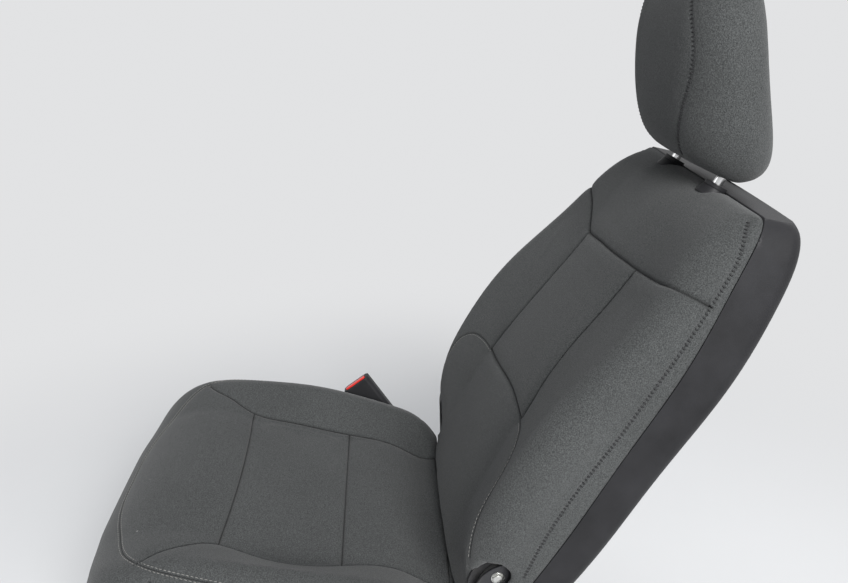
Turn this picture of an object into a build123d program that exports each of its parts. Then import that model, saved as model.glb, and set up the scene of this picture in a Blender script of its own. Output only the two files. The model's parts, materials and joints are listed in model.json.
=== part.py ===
"""A vehicle's front bucket seat with slide rails, a lift linkage, a reclining back and a headrest.

Millimetres.  +X is the occupant's left, which is the door side, -Y is forward and +Z is up.
The origin is at the centre of the four floor bolts, on the underside of the feet.
The back and the headrest are modelled upright, with the recline axis at their own origin and
their front towards -Y, and are then leaned back onto the recline axis.
"""
from math import atan2, cos, radians, sin
import os

from build123d import *

os.makedirs("parts", exist_ok=True)

# Clearances
seat_gap = 0.3            # between a soft solid or a loose piece and what carries it
running_gap = 0.05        # on the radius, between a pin and its hole
swing_gap = 5.0           # between pieces that move past each other
SIDES = {"l": 1, "r": -1}     # the occupant's left is +X

# Lower rail
rail_length = 530.0
rail_width = 60.0
rail_height = 28.0
rail_underside = 30.0
rail_sheet = 2.5
rail_slot = 20.0
rail_lip = 9.0

# Floor fixing
bolt_span_x = 410.0
bolt_reach = 15.0         # from the end of the rail to the bolt
bolt_hole_r = 5.5
foot_sheet = 4.0
foot_width = 56.0
foot_reach = 20.0         # from the bolt to the end of the pad
foot_pad_inner = 18.0     # from the bolt to the riser
foot_overlap = 70.0       # how far the foot runs under the rail

# Lift linkage
lift_pivot_z = 95.0
lift_rear_y = 150.0
lift_base = 280.0         # between the front and the rear pivots
link_length = 80.0
link_angle = 50.0         # above the floor, leaning to the rear
link_sheet = 5.0
link_low_r = 16.0
link_high_r = 18.0
lift_pin_r = 8.0
lift_collar_r = 12.0
lift_tube_r = 12.0
lift_tube_bore = 9.5
open_pivot_gap = 0.3      # at the front links' upper pivots
riser_sheet = 4.0
side_clear = 2.0          # sideways, between a link and the plates beside it

# Upper rail, an upside-down T that slides in the lower one
upper_ahead = 35.0        # past the front lift pivot
upper_behind = 65.0       # past the rear lift pivot
upper_flange = 42.0
upper_sheet = 3.0
upper_web = 6.0
upper_rise = 22.0         # above the lower rail
shoe_length = 34.0
shoe_inset = 22.0
slide_motor_r = 19.0
slide_motor_length = 96.0
drive_shaft_r = 4.0
gear_block = 26.0

# Recline
pivot_y = 200.0
pivot_z = 325.0
recline_deg = 29.7
recliner_r = 42.0
recliner_hub_r = 10.0
arm_sheet = 4.0
arm_r = 54.0
tower_r = 46.0
recliner_room = 17.0      # between a side plate and the lower end of the back
tower_fullness = 0.97     # share of a tower's half width that its top corners take
shield_tower_r = 56.0
foam_notch_r = 62.0
drum_r = 76.0             # the back's rounded lower end, about the recline axis
arch_r = 22.0             # the arched notch low in the outer side of the back
arch_ahead = 45.0
arch_above = 21.0

# Cushion
cushion_overhang = 36.0   # past the side plates
cushion_length = 470.0
cushion_depth = 150.0
cushion_setback = 62.0    # its rear end, ahead of the recline axis
cushion_base_z = 215.5    # under its rear end
cushion_slope = 0.099     # how far the base rises per millimetre forward

# Back
back_height = 524.0
back_overhang = 19.0      # past the side plates
back_depth = 100.0
panel_wall = 3.0
panel_bulge = 8.0
panel_low = 20.0          # above the recline axis
panel_edge = -2.0         # where the hard panel meets the cover

# Headrest
headrest_gap = 14.0       # between the back and the headrest's first section
headrest_rise = 146.0     # between its first and last sections
headrest_half = 130.0
headrest_depth = 160.0
post_r = 6.0
post_spread = 70.0
post_ahead = 8.0
post_depth = 124.0        # in the back
post_reach = 62.0         # in the headrest
post_notches = 4
notch_height = 4.0
notch_depth = 2.0
notch_pitch = 20.0
sleeve_wall = 2.6
sleeve_length = 62.0
sleeve_rise = 4.0         # its head, above the top of the back
sleeve_head_r = 14.0
sleeve_head = 5.0

# Seat frame
side_sheet = 3.0
side_below = 22.0         # under the middle of the lift tubes
side_setback = 32.0       # behind the nose of the cushion
side_behind = 50.0        # behind the recline axis
side_flange = 14.0
side_windows = ((-0.33, -0.15), (0.16, 0.38), (0.45, 0.66))    # shares of lift_base, from the front tube
cross_tube_r = 12.0
cross_tube_behind = 32.0  # behind the recline axis
cross_tube_rise = 50.0    # above the lift tubes
pan_sheet = 3.0
pan_length = 240.0
pan_lip = 30.0
pan_holes = 3
pan_hole_r = 24.0
pan_hole_pitch = 110.0
spring_wire = 4.0
spring_bar_ahead = 26.0   # ahead of the cushion's rear end
spring_bends = 5
spring_amplitude = 24.0
spring_count = 4
spring_pitch = 86.0

# Lift motor
gearbox_r = 40.0
gearbox_width = 40.0
gearbox_gap = 30.0        # to the side plate
gearbox_post_r = 7.0
gearbox_post_reach = 31.0
gearbox_posts = (8.0, 70.0)    # degrees above the rearward line
motor_can_r = 20.0
motor_can_length = 100.0

# Shields
shield_wall = 3.0
outer_shield_depth = 42.0
inner_shield_depth = 24.0
shield_edge_r = 9.0
shield_round = 5.0        # its outer edge
shield_drop = 6.0         # its lower edge, above the side plate's
shield_rake = 130.0       # how far the lower edge starts behind the front end
shield_nose = 50.0
outer_shield_setback = 72.0    # behind the nose of the cushion
inner_shield_length = 118.0    # ahead of the cushion's rear end
horn_r = 4.0

# Controls on the outer shield
lever_hub_r = 16.0
lever_hub_depth = 15.0
lever_length = 136.0
lever_grip = 22.0
lever_sheet = 11.0
lever_ahead = 40.0        # ahead of the recline axis
lever_below = 120.0       # below the recline axis
switch_length = 80.0
switch_height = 14.0
switch_depth = 10.0
switch_behind = 262.0     # its middle, behind the nose of the cushion
switch_drop = 35.0        # below the cushion's base

# Buckle, on its anchor at the inner side
buckle_overhang = 34.0    # past the side plate
buckle_ahead = 82.0       # ahead of the recline axis
buckle_z = 172.0
buckle_lean = 34.0        # forward
buckle_turn = 8.0         # away from the cushion
buckle_boss_r = 9.0
stalk_length = 130.0
stalk_width = 24.0
stalk_sheet = 4.0
buckle_thick = 26.0
buckle_width = 52.0
buckle_height = 84.0
buckle_round = 8.0
tongue_gap = 6.0
tongue_width = 30.0
tongue_depth = 38.0
button_thick = 9.0
button_width = 40.0
button_depth = 12.0
button_proud = 2.0
slot_offset = 5.0         # of the tongue's slot and of the button, from the buckle's middle

# Each row of a pad is one section across it.  at: how far along the pad.  half: half its width.
# base: its under or rear face.  side: where its side meets the bolster.  Then the bolster's
# crest, the crease beside the insert and the insert's middle, each with its distance from the
# centre plane and its height.  tilt: the section's lean, in degrees.
PAD_COLUMNS = ("at", "half", "base", "side", "crest_x", "crest", "crease_x", "crease", "crown", "tilt")

# The cushion: at is a share of its length, widths of its half width, heights of its depth
CUSHION = (
    (0.000, 0.620, 0.16, 0.29, 0.500, 0.44, 0.340, 0.49, 0.51, 0.0),
    (0.043, 0.840, 0.06, 0.40, 0.690, 0.63, 0.470, 0.65, 0.66, 0.0),
    (0.110, 0.945, 0.00, 0.55, 0.780, 0.83, 0.540, 0.79, 0.81, 0.0),
    (0.250, 0.990, 0.00, 0.59, 0.815, 0.97, 0.565, 0.89, 0.92, 0.0),
    (0.410, 1.000, 0.00, 0.55, 0.820, 0.97, 0.565, 0.75, 0.79, 0.0),
    (0.660, 1.000, 0.00, 0.47, 0.820, 0.88, 0.565, 0.59, 0.63, 0.0),
    (0.877, 0.970, 0.00, 0.35, 0.800, 0.71, 0.550, 0.49, 0.53, 0.0),
    (1.000, 0.880, 0.00, 0.27, 0.740, 0.43, 0.520, 0.45, 0.47, 0.0),
)

# The back, upward from the recline axis: shares of its height, half width and depth
BACK = (
    (-0.150, 0.985, -0.46, 0.14, 0.825, 0.40, 0.485, 0.48, 0.52, 0.0),
    (0.015, 0.990, -0.50, 0.24, 0.840, 0.70, 0.485, 0.62, 0.67, 0.0),
    (0.134, 1.000, -0.53, 0.34, 0.856, 0.92, 0.477, 0.67, 0.74, 0.0),
    (0.286, 1.000, -0.56, 0.36, 0.872, 0.96, 0.461, 0.70, 0.78, 0.0),
    (0.553, 0.984, -0.62, 0.30, 0.848, 0.79, 0.436, 0.60, 0.67, 0.0),
    (0.763, 0.934, -0.68, 0.14, 0.765, 0.53, 0.412, 0.48, 0.54, 0.0),
    (0.905, 0.856, -0.66, 0.04, 0.658, 0.42, 0.395, 0.42, 0.46, 4.0),
    (0.970, 0.807, -0.56, 0.03, 0.600, 0.28, 0.370, 0.31, 0.35, 12.0),
    (1.000, 0.749, -0.44, 0.02, 0.527, 0.11, 0.346, 0.14, 0.17, 16.0),
)

# The headrest, in the same frame: at is a share of its rise from its first section
HEADREST = (
    (0.000, 0.677, -0.06, 0.09, 0.508, 0.24, 0.323, 0.30, 0.31, 6.0),
    (0.137, 0.846, -0.20, 0.16, 0.677, 0.44, 0.400, 0.52, 0.55, 8.0),
    (0.370, 0.969, -0.14, 0.35, 0.754, 0.65, 0.431, 0.75, 0.77, 2.0),
    (0.671, 1.000, 0.16, 0.57, 0.769, 0.90, 0.431, 0.97, 0.99, -6.0),
    (0.890, 0.954, 0.45, 0.76, 0.723, 1.00, 0.400, 1.06, 1.08, -14.0),
    (1.000, 0.800, 0.61, 0.82, 0.600, 0.96, 0.338, 1.01, 1.03, -18.0),
)
firm_corner = 0.33        # share of a side's height that its lower corner takes
round_corner = 0.85

# Worked-out places
rail_x = bolt_span_x / 2
bolt_y = rail_length / 2 + bolt_reach
rail_top = rail_underside + rail_height
web_top = rail_top + upper_rise
web_inner = rail_x - upper_web / 2
web_outer = rail_x + upper_web / 2
riser_outer = web_outer + riser_sheet
link_inner = riser_outer + side_clear
link_outer = link_inner + link_sheet
side_inner = link_outer + side_clear
side_outer = side_inner + side_sheet
link_rise = link_length * sin(radians(link_angle))
link_back = link_length * cos(radians(link_angle))
lift_front_y = lift_rear_y - lift_base
rear_tube_y = lift_rear_y + link_back
front_tube_y = lift_front_y + link_back
tube_z = lift_pivot_z + link_rise
upper_front_y = lift_front_y - upper_ahead
upper_rear_y = lift_rear_y + upper_behind
drive_z = rail_top + swing_gap + gear_block / 2
drive_y = (upper_front_y + upper_rear_y) / 2
cushion_rear_y = pivot_y - cushion_setback
cushion_nose_y = cushion_rear_y - cushion_length
side_front_y = cushion_nose_y + side_setback
side_rear_y = pivot_y + side_behind
side_bottom = tube_z - side_below
cross_tube_y = pivot_y + cross_tube_behind
cross_tube_z = tube_z + cross_tube_rise
pan_rear_y = side_front_y + pan_length
spring_bar_y = cushion_rear_y - spring_bar_ahead
tower_foot_y = cushion_rear_y + swing_gap + side_sheet
flap_inner = side_outer + swing_gap
shield_near = side_outer + seat_gap
control_near = shield_near + outer_shield_depth + seat_gap
buckle_y = pivot_y - buckle_ahead
buckle_x = side_outer + buckle_overhang
cushion_half = side_outer + cushion_overhang
back_half = side_outer + back_overhang
drum_half = side_inner - recliner_room
headrest_low = back_height + headrest_gap
post_foot = back_height - post_depth
post_top = headrest_low + post_reach
sleeve_r = post_r + running_gap + sleeve_wall
sleeve_top = back_height + sleeve_rise


def save(name, shape):
    """Write one piece."""
    export_step(shape, f"parts/{name}.step")


def on_side(side, shape):
    """A piece made for the +X side, or its mirror image."""
    return shape if SIDES[side] > 0 else mirror(shape, about=Plane.YZ)


def across(face, x_near, thick):
    """A flat face drawn in (y, z), given its thickness along +X from x_near."""
    return Plane((x_near, 0, 0), x_dir=(0, 1, 0), z_dir=(1, 0, 0)) * extrude(face, thick)


def plate(points, corner, x_near, thick):
    """A plate that stands along the seat: an outline of (y, z) points from x_near outward."""
    outline = FilletPolyline(*points, radius=corner, close=True) if corner else Polyline(*points, close=True)
    return across(make_face(outline.edges()), x_near, thick)


def rod(y, z, radius, x_from, x_to):
    """A round bar along X."""
    return across(Pos(y, z) * Circle(radius), x_from, x_to - x_from)


def cushion_base(y):
    """Height of the cushion's under face at y."""
    return cushion_base_z + cushion_slope * (cushion_rear_y - y)


def leaned(shape):
    """Lean a piece of the back from upright onto the recline axis."""
    return Pos(0, pivot_y, pivot_z) * Rot(-recline_deg, 0, 0) * shape


# Floor feet and lower rails
def foot(side, end):
    """A bent strap from the floor bolt up to the underside of the rail."""
    high = rail_underside - foot_sheet
    riser = bolt_y - foot_pad_inner
    inner = rail_length / 2 - foot_overlap
    profile = (
        (bolt_y + foot_reach, 0), (bolt_y + foot_reach, foot_sheet),
        (riser + foot_sheet, foot_sheet), (riser - foot_sheet, high + foot_sheet),
        (inner, high + foot_sheet), (inner, high),
        (riser - 2 * foot_sheet, high), (riser, 0),
    )
    strap = plate(profile, 0, rail_x - foot_width / 2, foot_width)
    strap -= Pos(rail_x, bolt_y, 0) * Cylinder(bolt_hole_r, 4 * foot_sheet)
    return on_side(side, strap if end == "rear" else mirror(strap, about=Plane.XZ))


def rail_piece(right, y_from, y_to):
    """A rail's section, from its right half drawn in (x, z), given its length along Y."""
    outline = Polyline(*right, *[(-x, z) for x, z in reversed(right)], close=True)
    plane = Plane((rail_x, y_to, 0), x_dir=(1, 0, 0), z_dir=(0, -1, 0))
    return plane * extrude(make_face(outline.edges()), y_to - y_from)


def lower_rail(side):
    """A channel whose lips turn in and down round the slot."""
    half, t = rail_width / 2, rail_sheet
    slot = rail_slot / 2
    bottom, top = rail_underside, rail_top
    right = (
        (half, bottom), (half, top), (slot, top), (slot, top - rail_lip),
        (slot + t, top - rail_lip), (slot + t, top - t), (half - t, top - t), (half - t, bottom + t),
    )
    return on_side(side, rail_piece(right, -rail_length / 2, rail_length / 2))


def upper_rail(side):
    """The upside-down T, with its flange's edges turned up beside the lips."""
    half, web = upper_flange / 2, upper_web / 2
    bottom = rail_underside + rail_sheet + seat_gap + 2 * upper_sheet
    lip_top = rail_top - rail_lip + upper_sheet
    right = (
        (half, bottom), (half, lip_top), (half - upper_sheet, lip_top),
        (half - upper_sheet, bottom + upper_sheet), (web, bottom + upper_sheet), (web, web_top),
    )
    return on_side(side, rail_piece(right, upper_front_y, upper_rear_y))


def glide_shoes(side):
    """Two plastic shoes under the flange of the upper rail, which run in the channel."""
    half = rail_width / 2 - rail_sheet - seat_gap
    bottom = rail_underside + rail_sheet + seat_gap
    seat = bottom + 2 * upper_sheet
    flange = upper_flange / 2
    right = ((half, bottom), (half, rail_top - rail_lip), (flange, rail_top - rail_lip), (flange, seat))
    front = upper_front_y + shoe_inset
    rear = upper_rear_y - shoe_inset - shoe_length
    shoes = [rail_piece(right, y, y + shoe_length) for y in (front, rear)]
    return on_side(side, shoes[0] + shoes[1])


# Carriage: risers that carry the lower pivots, and the slide drive
def riser(side):
    """A plate on the web of the upper rail, with an ear round each lower pivot."""
    foot_z = rail_top + swing_gap
    strip = ((upper_front_y, foot_z), (upper_rear_y, foot_z), (upper_rear_y, web_top), (upper_front_y, web_top))
    body = plate(strip, riser_sheet, web_outer, riser_sheet)
    for y in (lift_rear_y, lift_front_y):
        ear = ((y - 2 * link_low_r, foot_z), (y + 2 * link_low_r, foot_z),
               (y + link_low_r, lift_pivot_z), (y - link_low_r, lift_pivot_z))
        body += plate(ear, riser_sheet, web_outer, riser_sheet)
        body += rod(y, lift_pivot_z, link_low_r, web_outer, riser_outer)
        body -= rod(y, lift_pivot_z, lift_pin_r + running_gap, web_outer, riser_outer)
    return on_side(side, body)


def slide_gearbox(side):
    """The block on the web that takes the cross shaft to the lead screw in the rail."""
    block = Pos(web_inner - gear_block / 2, drive_y, drive_z) * Box(gear_block, gear_block, gear_block)
    return on_side(side, chamfer(block.edges().filter_by(Axis.X), gear_block / 8))


def slide_drive():
    """The motor between the rails with its shaft to both gearboxes."""
    end = web_inner - gear_block
    half = slide_motor_length / 2
    hub = 2 * drive_shaft_r
    body = rod(drive_y, drive_z, slide_motor_r, -half, half)
    body += rod(drive_y, drive_z, drive_shaft_r, -end, end)
    return body + rod(drive_y, drive_z, hub, -half - hub, half + hub)


# Lift linkage
def lift_link(side, low_y):
    """A flat link with its rivet pin at the lower end and its eye on the lift tube."""
    high_y = low_y + link_back
    along_y, along_z = cos(radians(link_angle)), sin(radians(link_angle))
    body = rod(low_y, lift_pivot_z, link_low_r, link_inner, link_outer)
    body += rod(high_y, tube_z, link_high_r, link_inner, link_outer)
    edge = [
        (low_y - along_z * link_low_r, lift_pivot_z + along_y * link_low_r),
        (low_y + along_z * link_low_r, lift_pivot_z - along_y * link_low_r),
        (high_y + along_z * link_high_r, tube_z - along_y * link_high_r),
        (high_y - along_z * link_high_r, tube_z + along_y * link_high_r),
    ]
    body += plate(edge, 0, link_inner, link_sheet)
    body -= rod(high_y, tube_z, lift_tube_r + running_gap, link_inner, link_outer)
    body += rod(low_y, lift_pivot_z, lift_pin_r, web_outer - side_clear, link_inner)
    body += rod(low_y, lift_pivot_z, lift_collar_r, web_outer - 2 * side_clear, web_outer - side_clear / 4)
    return on_side(side, body)


def lift_tube(y):
    """The tube across the seat that joins a pair of links and turns in the side plates."""
    end = side_outer + side_clear
    return rod(y, tube_z, lift_tube_r, -end, end) - rod(y, tube_z, lift_tube_bore, -end, end)


# Seat frame
def side_plate(side):
    """The pressed side of the seat frame, with its tower up to the recline axis."""
    top = cushion_base(side_front_y) - seat_gap
    flange_end = cushion_rear_y - 4 * swing_gap
    outline = (
        (side_front_y, top), (tower_foot_y, cushion_base(tower_foot_y) - seat_gap),
        (pivot_y - tower_r, pivot_z + tower_r), (pivot_y + tower_r, pivot_z + tower_r),
        (side_rear_y, cross_tube_z), (side_rear_y - 2 * cross_tube_r, side_bottom),
        (front_tube_y - 2 * link_high_r, side_bottom), (side_front_y + 2 * link_high_r, top - 2 * link_high_r),
        (side_front_y, top - link_high_r),
    )
    round_top = tower_r * tower_fullness
    corner = 2 * side_sheet
    body = plate(outline, [corner, corner, round_top, round_top, *[corner] * 5], side_inner, side_sheet)
    flange = (
        (side_front_y + side_sheet, cushion_base(side_front_y + side_sheet) - seat_gap),
        (flange_end, cushion_base(flange_end) - seat_gap),
        (flange_end, cushion_base(flange_end) - seat_gap - side_sheet),
        (side_front_y + side_sheet, cushion_base(side_front_y + side_sheet) - seat_gap - side_sheet),
    )
    body += plate(flange, 0, side_inner - side_flange, side_flange)
    body -= rod(pivot_y, pivot_z, recliner_hub_r + running_gap, side_inner, side_outer)
    body -= rod(rear_tube_y, tube_z, lift_tube_r + running_gap, side_inner, side_outer)
    body -= rod(front_tube_y, tube_z, lift_tube_r + open_pivot_gap, side_inner, side_outer)
    for share_from, share_to in side_windows:
        y_from, y_to = (front_tube_y + share * lift_base for share in (share_from, share_to))
        hole_top = cushion_base(y_to) - 8 * side_sheet
        hole_low = tube_z + link_high_r
        window = ((y_from, hole_low), (y_to, hole_low), (y_to, hole_top), (y_from, hole_top))
        body -= plate(window, (hole_top - hole_low) / 3, side_inner, side_sheet)
    return on_side(side, body)


def front_pan():
    """The pressed pan under the front of the cushion, with its holes and a lip bent down at its nose."""
    half = side_inner - side_flange - seat_gap
    front, rear = side_front_y, pan_rear_y
    t = pan_sheet
    top_front, top_rear = cushion_base(front) - seat_gap, cushion_base(rear) - seat_gap
    outline = (
        (rear, top_rear), (front, top_front), (front - t, top_front - pan_lip),
        (front, top_front - pan_lip), (front + t, top_front - t), (rear, top_rear - t),
    )
    pan = plate(outline, 0, -half, 2 * half)
    for hole in range(pan_holes):
        x = (hole - (pan_holes - 1) / 2) * pan_hole_pitch
        pan -= Pos(x, (front + rear) / 2, top_rear) * Cylinder(pan_hole_r, 2 * pan_lip)
    return pan


def cross_tube():
    """The tube that ties the side plates together behind the lift tube."""
    return rod(cross_tube_y, cross_tube_z, cross_tube_r, -side_inner, side_inner)


def spring_bar():
    """The bar that holds the rear ends of the cushion springs."""
    z = cushion_base(spring_bar_y) - spring_wire - 2 * seat_gap
    return rod(spring_bar_y, z - spring_wire, spring_wire, -side_inner, side_inner)


def cushion_springs():
    """Zigzag springs from the pan back to the bar, on the slope of the cushion's base."""
    start = pan_rear_y + spring_wire
    run = spring_bar_y - start
    pitch = run / (spring_bends + 1)
    zigzag = [(0, 0)]
    for bend in range(spring_bends):
        sideways = spring_amplitude / 2 * (1 if bend % 2 else -1)
        zigzag += [(sideways, pitch * (bend + 0.55)), (sideways, pitch * (bend + 1.45))]
    zigzag += [(0, run)]
    outline = offset(Polyline(*zigzag), spring_wire / 2, side=Side.BOTH, kind=Kind.INTERSECTION)
    ribbon = make_face(outline.edges())
    z = cushion_base(start) - 2 * seat_gap - spring_wire
    slope = Rot(-Vector(0, 1, 0).get_angle(Vector(0, 1, -cushion_slope)), 0, 0)
    spring = slope * extrude(ribbon, spring_wire)
    return [Pos((k - (spring_count - 1) / 2) * spring_pitch, start, z) * spring for k in range(spring_count)]


def recliner(side):
    """The round geared joint between the side plate and the arm of the back."""
    inner = drum_half + 2 * seat_gap + arm_sheet + seat_gap
    body = rod(pivot_y, pivot_z, recliner_r, inner, side_inner)
    return on_side(side, body - rod(pivot_y, pivot_z, recliner_hub_r + running_gap, inner, side_inner))


def lift_motor():
    """The motor that turns the rear lift tube through the gearbox clamped round it."""
    far = side_inner - gearbox_gap
    near = far - gearbox_width
    body = rod(rear_tube_y, tube_z, gearbox_r, near, far)
    for turn in gearbox_posts:
        y = rear_tube_y + gearbox_post_reach * cos(radians(turn))
        z = tube_z + gearbox_post_reach * sin(radians(turn))
        body += rod(y, z, gearbox_post_r, far, side_inner)
    body += Pos((near + far) / 2, rear_tube_y - gearbox_r / 2, tube_z) * Rot(90, 0, 0) * Cylinder(
        motor_can_r, motor_can_length, align=(Align.CENTER, Align.CENTER, Align.MIN))
    return body - rod(rear_tube_y, tube_z, lift_tube_r + open_pivot_gap, near, far)


# Shields
def moulded_cover(face, depth):
    """A cover with a rounded outer edge, drawn in (y, z) and open towards the side plate."""
    body = across(face, shield_near, depth)
    body = fillet(body.faces().sort_by(Axis.X)[-1].edges(), shield_round)
    return body - across(offset(face, -shield_wall), shield_near, depth - shield_wall)


def shield_foot(front_y, rear):
    """The rear and lower corners of a shield, from its rear edge round to its front end."""
    low = side_bottom + shield_drop
    return (
        (rear + swing_gap, cross_tube_z), (rear - 4 * swing_gap, low),
        (front_y + shield_rake, low), (front_y, low + shield_nose),
    )


def outer_shield():
    """The cover on the door side, with a hollow in its top edge for the lower end of the back."""
    front_y = cushion_nose_y + outer_shield_setback
    rear = pivot_y + shield_tower_r
    top_gap = 2 * seat_gap
    low_end = pivot_z - drum_r / 2
    outline = (
        (front_y, cushion_base(front_y) - top_gap), (tower_foot_y, cushion_base(tower_foot_y) - top_gap),
        (tower_foot_y, low_end), (rear + swing_gap, low_end), *shield_foot(front_y, rear),
    )
    face = make_face(Polyline(*outline, close=True).edges())
    face -= Pos(pivot_y, pivot_z) * Circle(drum_r + swing_gap)
    face = fillet(face.vertices(), horn_r)
    return moulded_cover(face, outer_shield_depth)


def inner_shield():
    """The cover on the inner side, with a round tower over the recliner and the buckle's hole."""
    front_y = cushion_rear_y - inner_shield_length
    rear = pivot_y + shield_tower_r
    top_gap = 2 * seat_gap
    outline = (
        (front_y, cushion_base(front_y) - top_gap), (tower_foot_y, cushion_base(tower_foot_y) - top_gap),
        (pivot_y - shield_tower_r, pivot_z + shield_tower_r), (rear, pivot_z + shield_tower_r),
        *shield_foot(front_y, rear),
    )
    round_top = shield_tower_r * tower_fullness
    corners = [shield_edge_r, shield_edge_r, round_top, round_top, *[shield_edge_r] * 4]
    face = make_face(FilletPolyline(*outline, radius=corners, close=True).edges())
    body = moulded_cover(face, inner_shield_depth)
    body -= rod(buckle_y, buckle_z, buckle_boss_r + seat_gap, shield_near, shield_near + inner_shield_depth)
    return on_side("r", body)


# Controls on the outer shield
def recline_lever():
    """The hand lever for the recline, low on the outer shield."""
    y, z = pivot_y - lever_ahead, pivot_z - lever_below
    grip = (
        (y + lever_hub_r / 4, z - lever_hub_r), (y + lever_hub_r / 4, z + lever_hub_r),
        (y - lever_length / 2, z + lever_grip / 2), (y - lever_length, z + lever_grip / 2),
        (y - lever_length, z - lever_grip / 2), (y - lever_length / 2, z - lever_grip / 4),
    )
    body = rod(y, z, lever_hub_r, control_near, control_near + lever_hub_depth)
    return body + plate(grip, lever_grip / 5, control_near + lever_hub_depth - lever_sheet, lever_sheet)


def seat_switch():
    """The bar-shaped switch that moves the seat up, down, forward and back, on its stem."""
    y = cushion_nose_y + switch_behind
    z = cushion_base(y) - switch_drop
    reach = switch_length / 2
    fall = cushion_slope * reach
    bar = ((y - reach, z + fall), (y + reach, z - fall),
           (y + reach, z - fall + switch_height), (y - reach, z + fall + switch_height))
    stem = Pos(control_near, y, z + switch_height / 2) * Box(
        switch_depth, switch_length / 3, switch_height / 2, align=(Align.MIN, Align.CENTER, Align.CENTER))
    return plate(bar, 0.45 * switch_height, control_near + switch_depth / 2, switch_depth) + stem


# Buckle at the inner side
def buckle_place(shape):
    """Stand a piece of the buckle on its anchor, leaning forward and away from the cushion."""
    return Pos(-buckle_x, buckle_y, buckle_z) * Rot(0, -buckle_turn, 0) * Rot(buckle_lean, 0, 0) * shape


def buckle_stalk():
    """The flat strap from the anchor bolt up to the buckle."""
    strap = Pos(0, 0, (stalk_length - stalk_width / 2) / 2) * Box(
        stalk_sheet, stalk_width, stalk_length + stalk_width / 2)
    strap = fillet(strap.edges().filter_by(Axis.X), stalk_width / 3)
    end = buckle_x + stalk_sheet
    boss = rod(buckle_y, buckle_z, buckle_boss_r, -end, -side_outer - seat_gap)
    return buckle_place(strap) + boss


def buckle_housing():
    """The moulded box of the buckle, open at its top for the tongue and the button."""
    foot_z = stalk_length + seat_gap
    top = foot_z + buckle_height
    body = Pos(0, 0, foot_z + buckle_height / 2) * Box(buckle_thick, buckle_width, buckle_height)
    body = fillet(body.edges().filter_by(Axis.Z), buckle_round)
    body = fillet(body.faces().sort_by(Axis.Z)[-1].edges(), buckle_round / 3)
    on_top = (Align.CENTER, Align.CENTER, Align.MAX)
    body -= Pos(-slot_offset, 0, top) * Box(tongue_gap, tongue_width, tongue_depth, align=on_top)
    body -= Pos(slot_offset, 0, top) * Box(button_thick, button_width, button_depth, align=on_top)
    return buckle_place(body)


def buckle_button():
    """The red release button in the top of the buckle."""
    foot_z = stalk_length + seat_gap + buckle_height - button_depth + seat_gap
    body = Pos(slot_offset, 0, foot_z) * Box(
        button_thick - 2 * seat_gap, button_width - 2 * seat_gap, button_depth + button_proud,
        align=(Align.CENTER, Align.CENTER, Align.MIN))
    return buckle_place(fillet(body.edges().filter_by(Axis.Z), button_thick / 4))


# Soft pads
def sized_rows(table, length, half, depth, start=0.0):
    """The rows of a pad's table by column name, turned from shares into millimetres."""
    rows = []
    for shares in table:
        row = dict(zip(PAD_COLUMNS, shares))
        row["at"] = start + row["at"] * length
        for name in ("half", "crest_x", "crease_x"):
            row[name] *= half
        for name in ("base", "side", "crest", "crease", "crown"):
            row[name] *= depth
        rows.append(row)
    return rows


def corner_arc(half, base, edge):
    """The rounded corner from the base up to the side."""
    inset = edge * (1 - cos(radians(45)))
    return ThreePointArc((half - edge, base), (half - inset, base + inset), (half, base + edge))


def bolster(row, sloped):
    """The bolster of a section: one full arc, or a rounded shoulder with a slope to the crease."""
    side, crest = (row["half"], row["side"]), (row["crest_x"], row["crest"])
    crease = (row["crease_x"], row["crease"])
    if not sloped:
        return [ThreePointArc(side, crest, crease)]
    reach, rise = side[0] - crest[0], crest[1] - side[1]
    radius = (reach ** 2 + rise ** 2) / (2 * rise)
    half_turn = atan2(reach, radius - rise) / 2
    shoulder = (crest[0] + radius * sin(half_turn), crest[1] - radius * (1 - cos(half_turn)))
    return [ThreePointArc(side, shoulder, crest), Line(crest, crease)]


def pad_section(plane, row, corner, sloped=False):
    """One closed section of a pad.  corner: the share of the side's height in its rounding."""
    half, base, side = row["half"], row["base"], row["side"]
    crease_x, crease = row["crease_x"], row["crease"]
    edge = min(side - base, half) * corner
    right = [Line((half, base + edge), (half, side)), *bolster(row, sloped)]
    if corner:
        right.append(corner_arc(half, base, edge))
    left = [mirror(line, about=Plane.YZ) for line in right]
    insert = ThreePointArc((crease_x, crease), (0, row["crown"]), (-crease_x, crease))
    under = Line((edge - half, base), (half - edge, base))
    return plane * make_face([under, *right, insert, *left])


def cushion():
    """The foam and cover of the seat cushion, cut clear of the back's rounded end."""
    faces = []
    for row in sized_rows(CUSHION, cushion_length, cushion_half, cushion_depth):
        y = cushion_nose_y + row["at"]
        plane = Plane((0, y, cushion_base(y)), x_dir=(1, 0, 0), z_dir=(0, -1, 0))
        faces.append(pad_section(plane, row, firm_corner, sloped=True))
    wide = cushion_half + swing_gap
    front, rear = cushion_nose_y - swing_gap, cushion_rear_y + swing_gap
    under = ((front, cushion_base(front)), (rear, cushion_base(rear)), (rear, 0), (front, 0))
    pad = loft(faces) - plate(under, 0, -wide, 2 * wide)
    return pad - rod(pivot_y, pivot_z, drum_r + swing_gap, -wide, wide)


def back_rows():
    """The sections of the back in millimetres."""
    return sized_rows(BACK, back_height, back_half, back_depth)


def back_plane(at, tilt):
    """The plane of one section of the back or the headrest, its second axis towards the front."""
    level = Plane((0, 0, at), x_dir=(1, 0, 0), z_dir=(0, 0, -1))
    return level.rotated((tilt, 0, 0))


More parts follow.
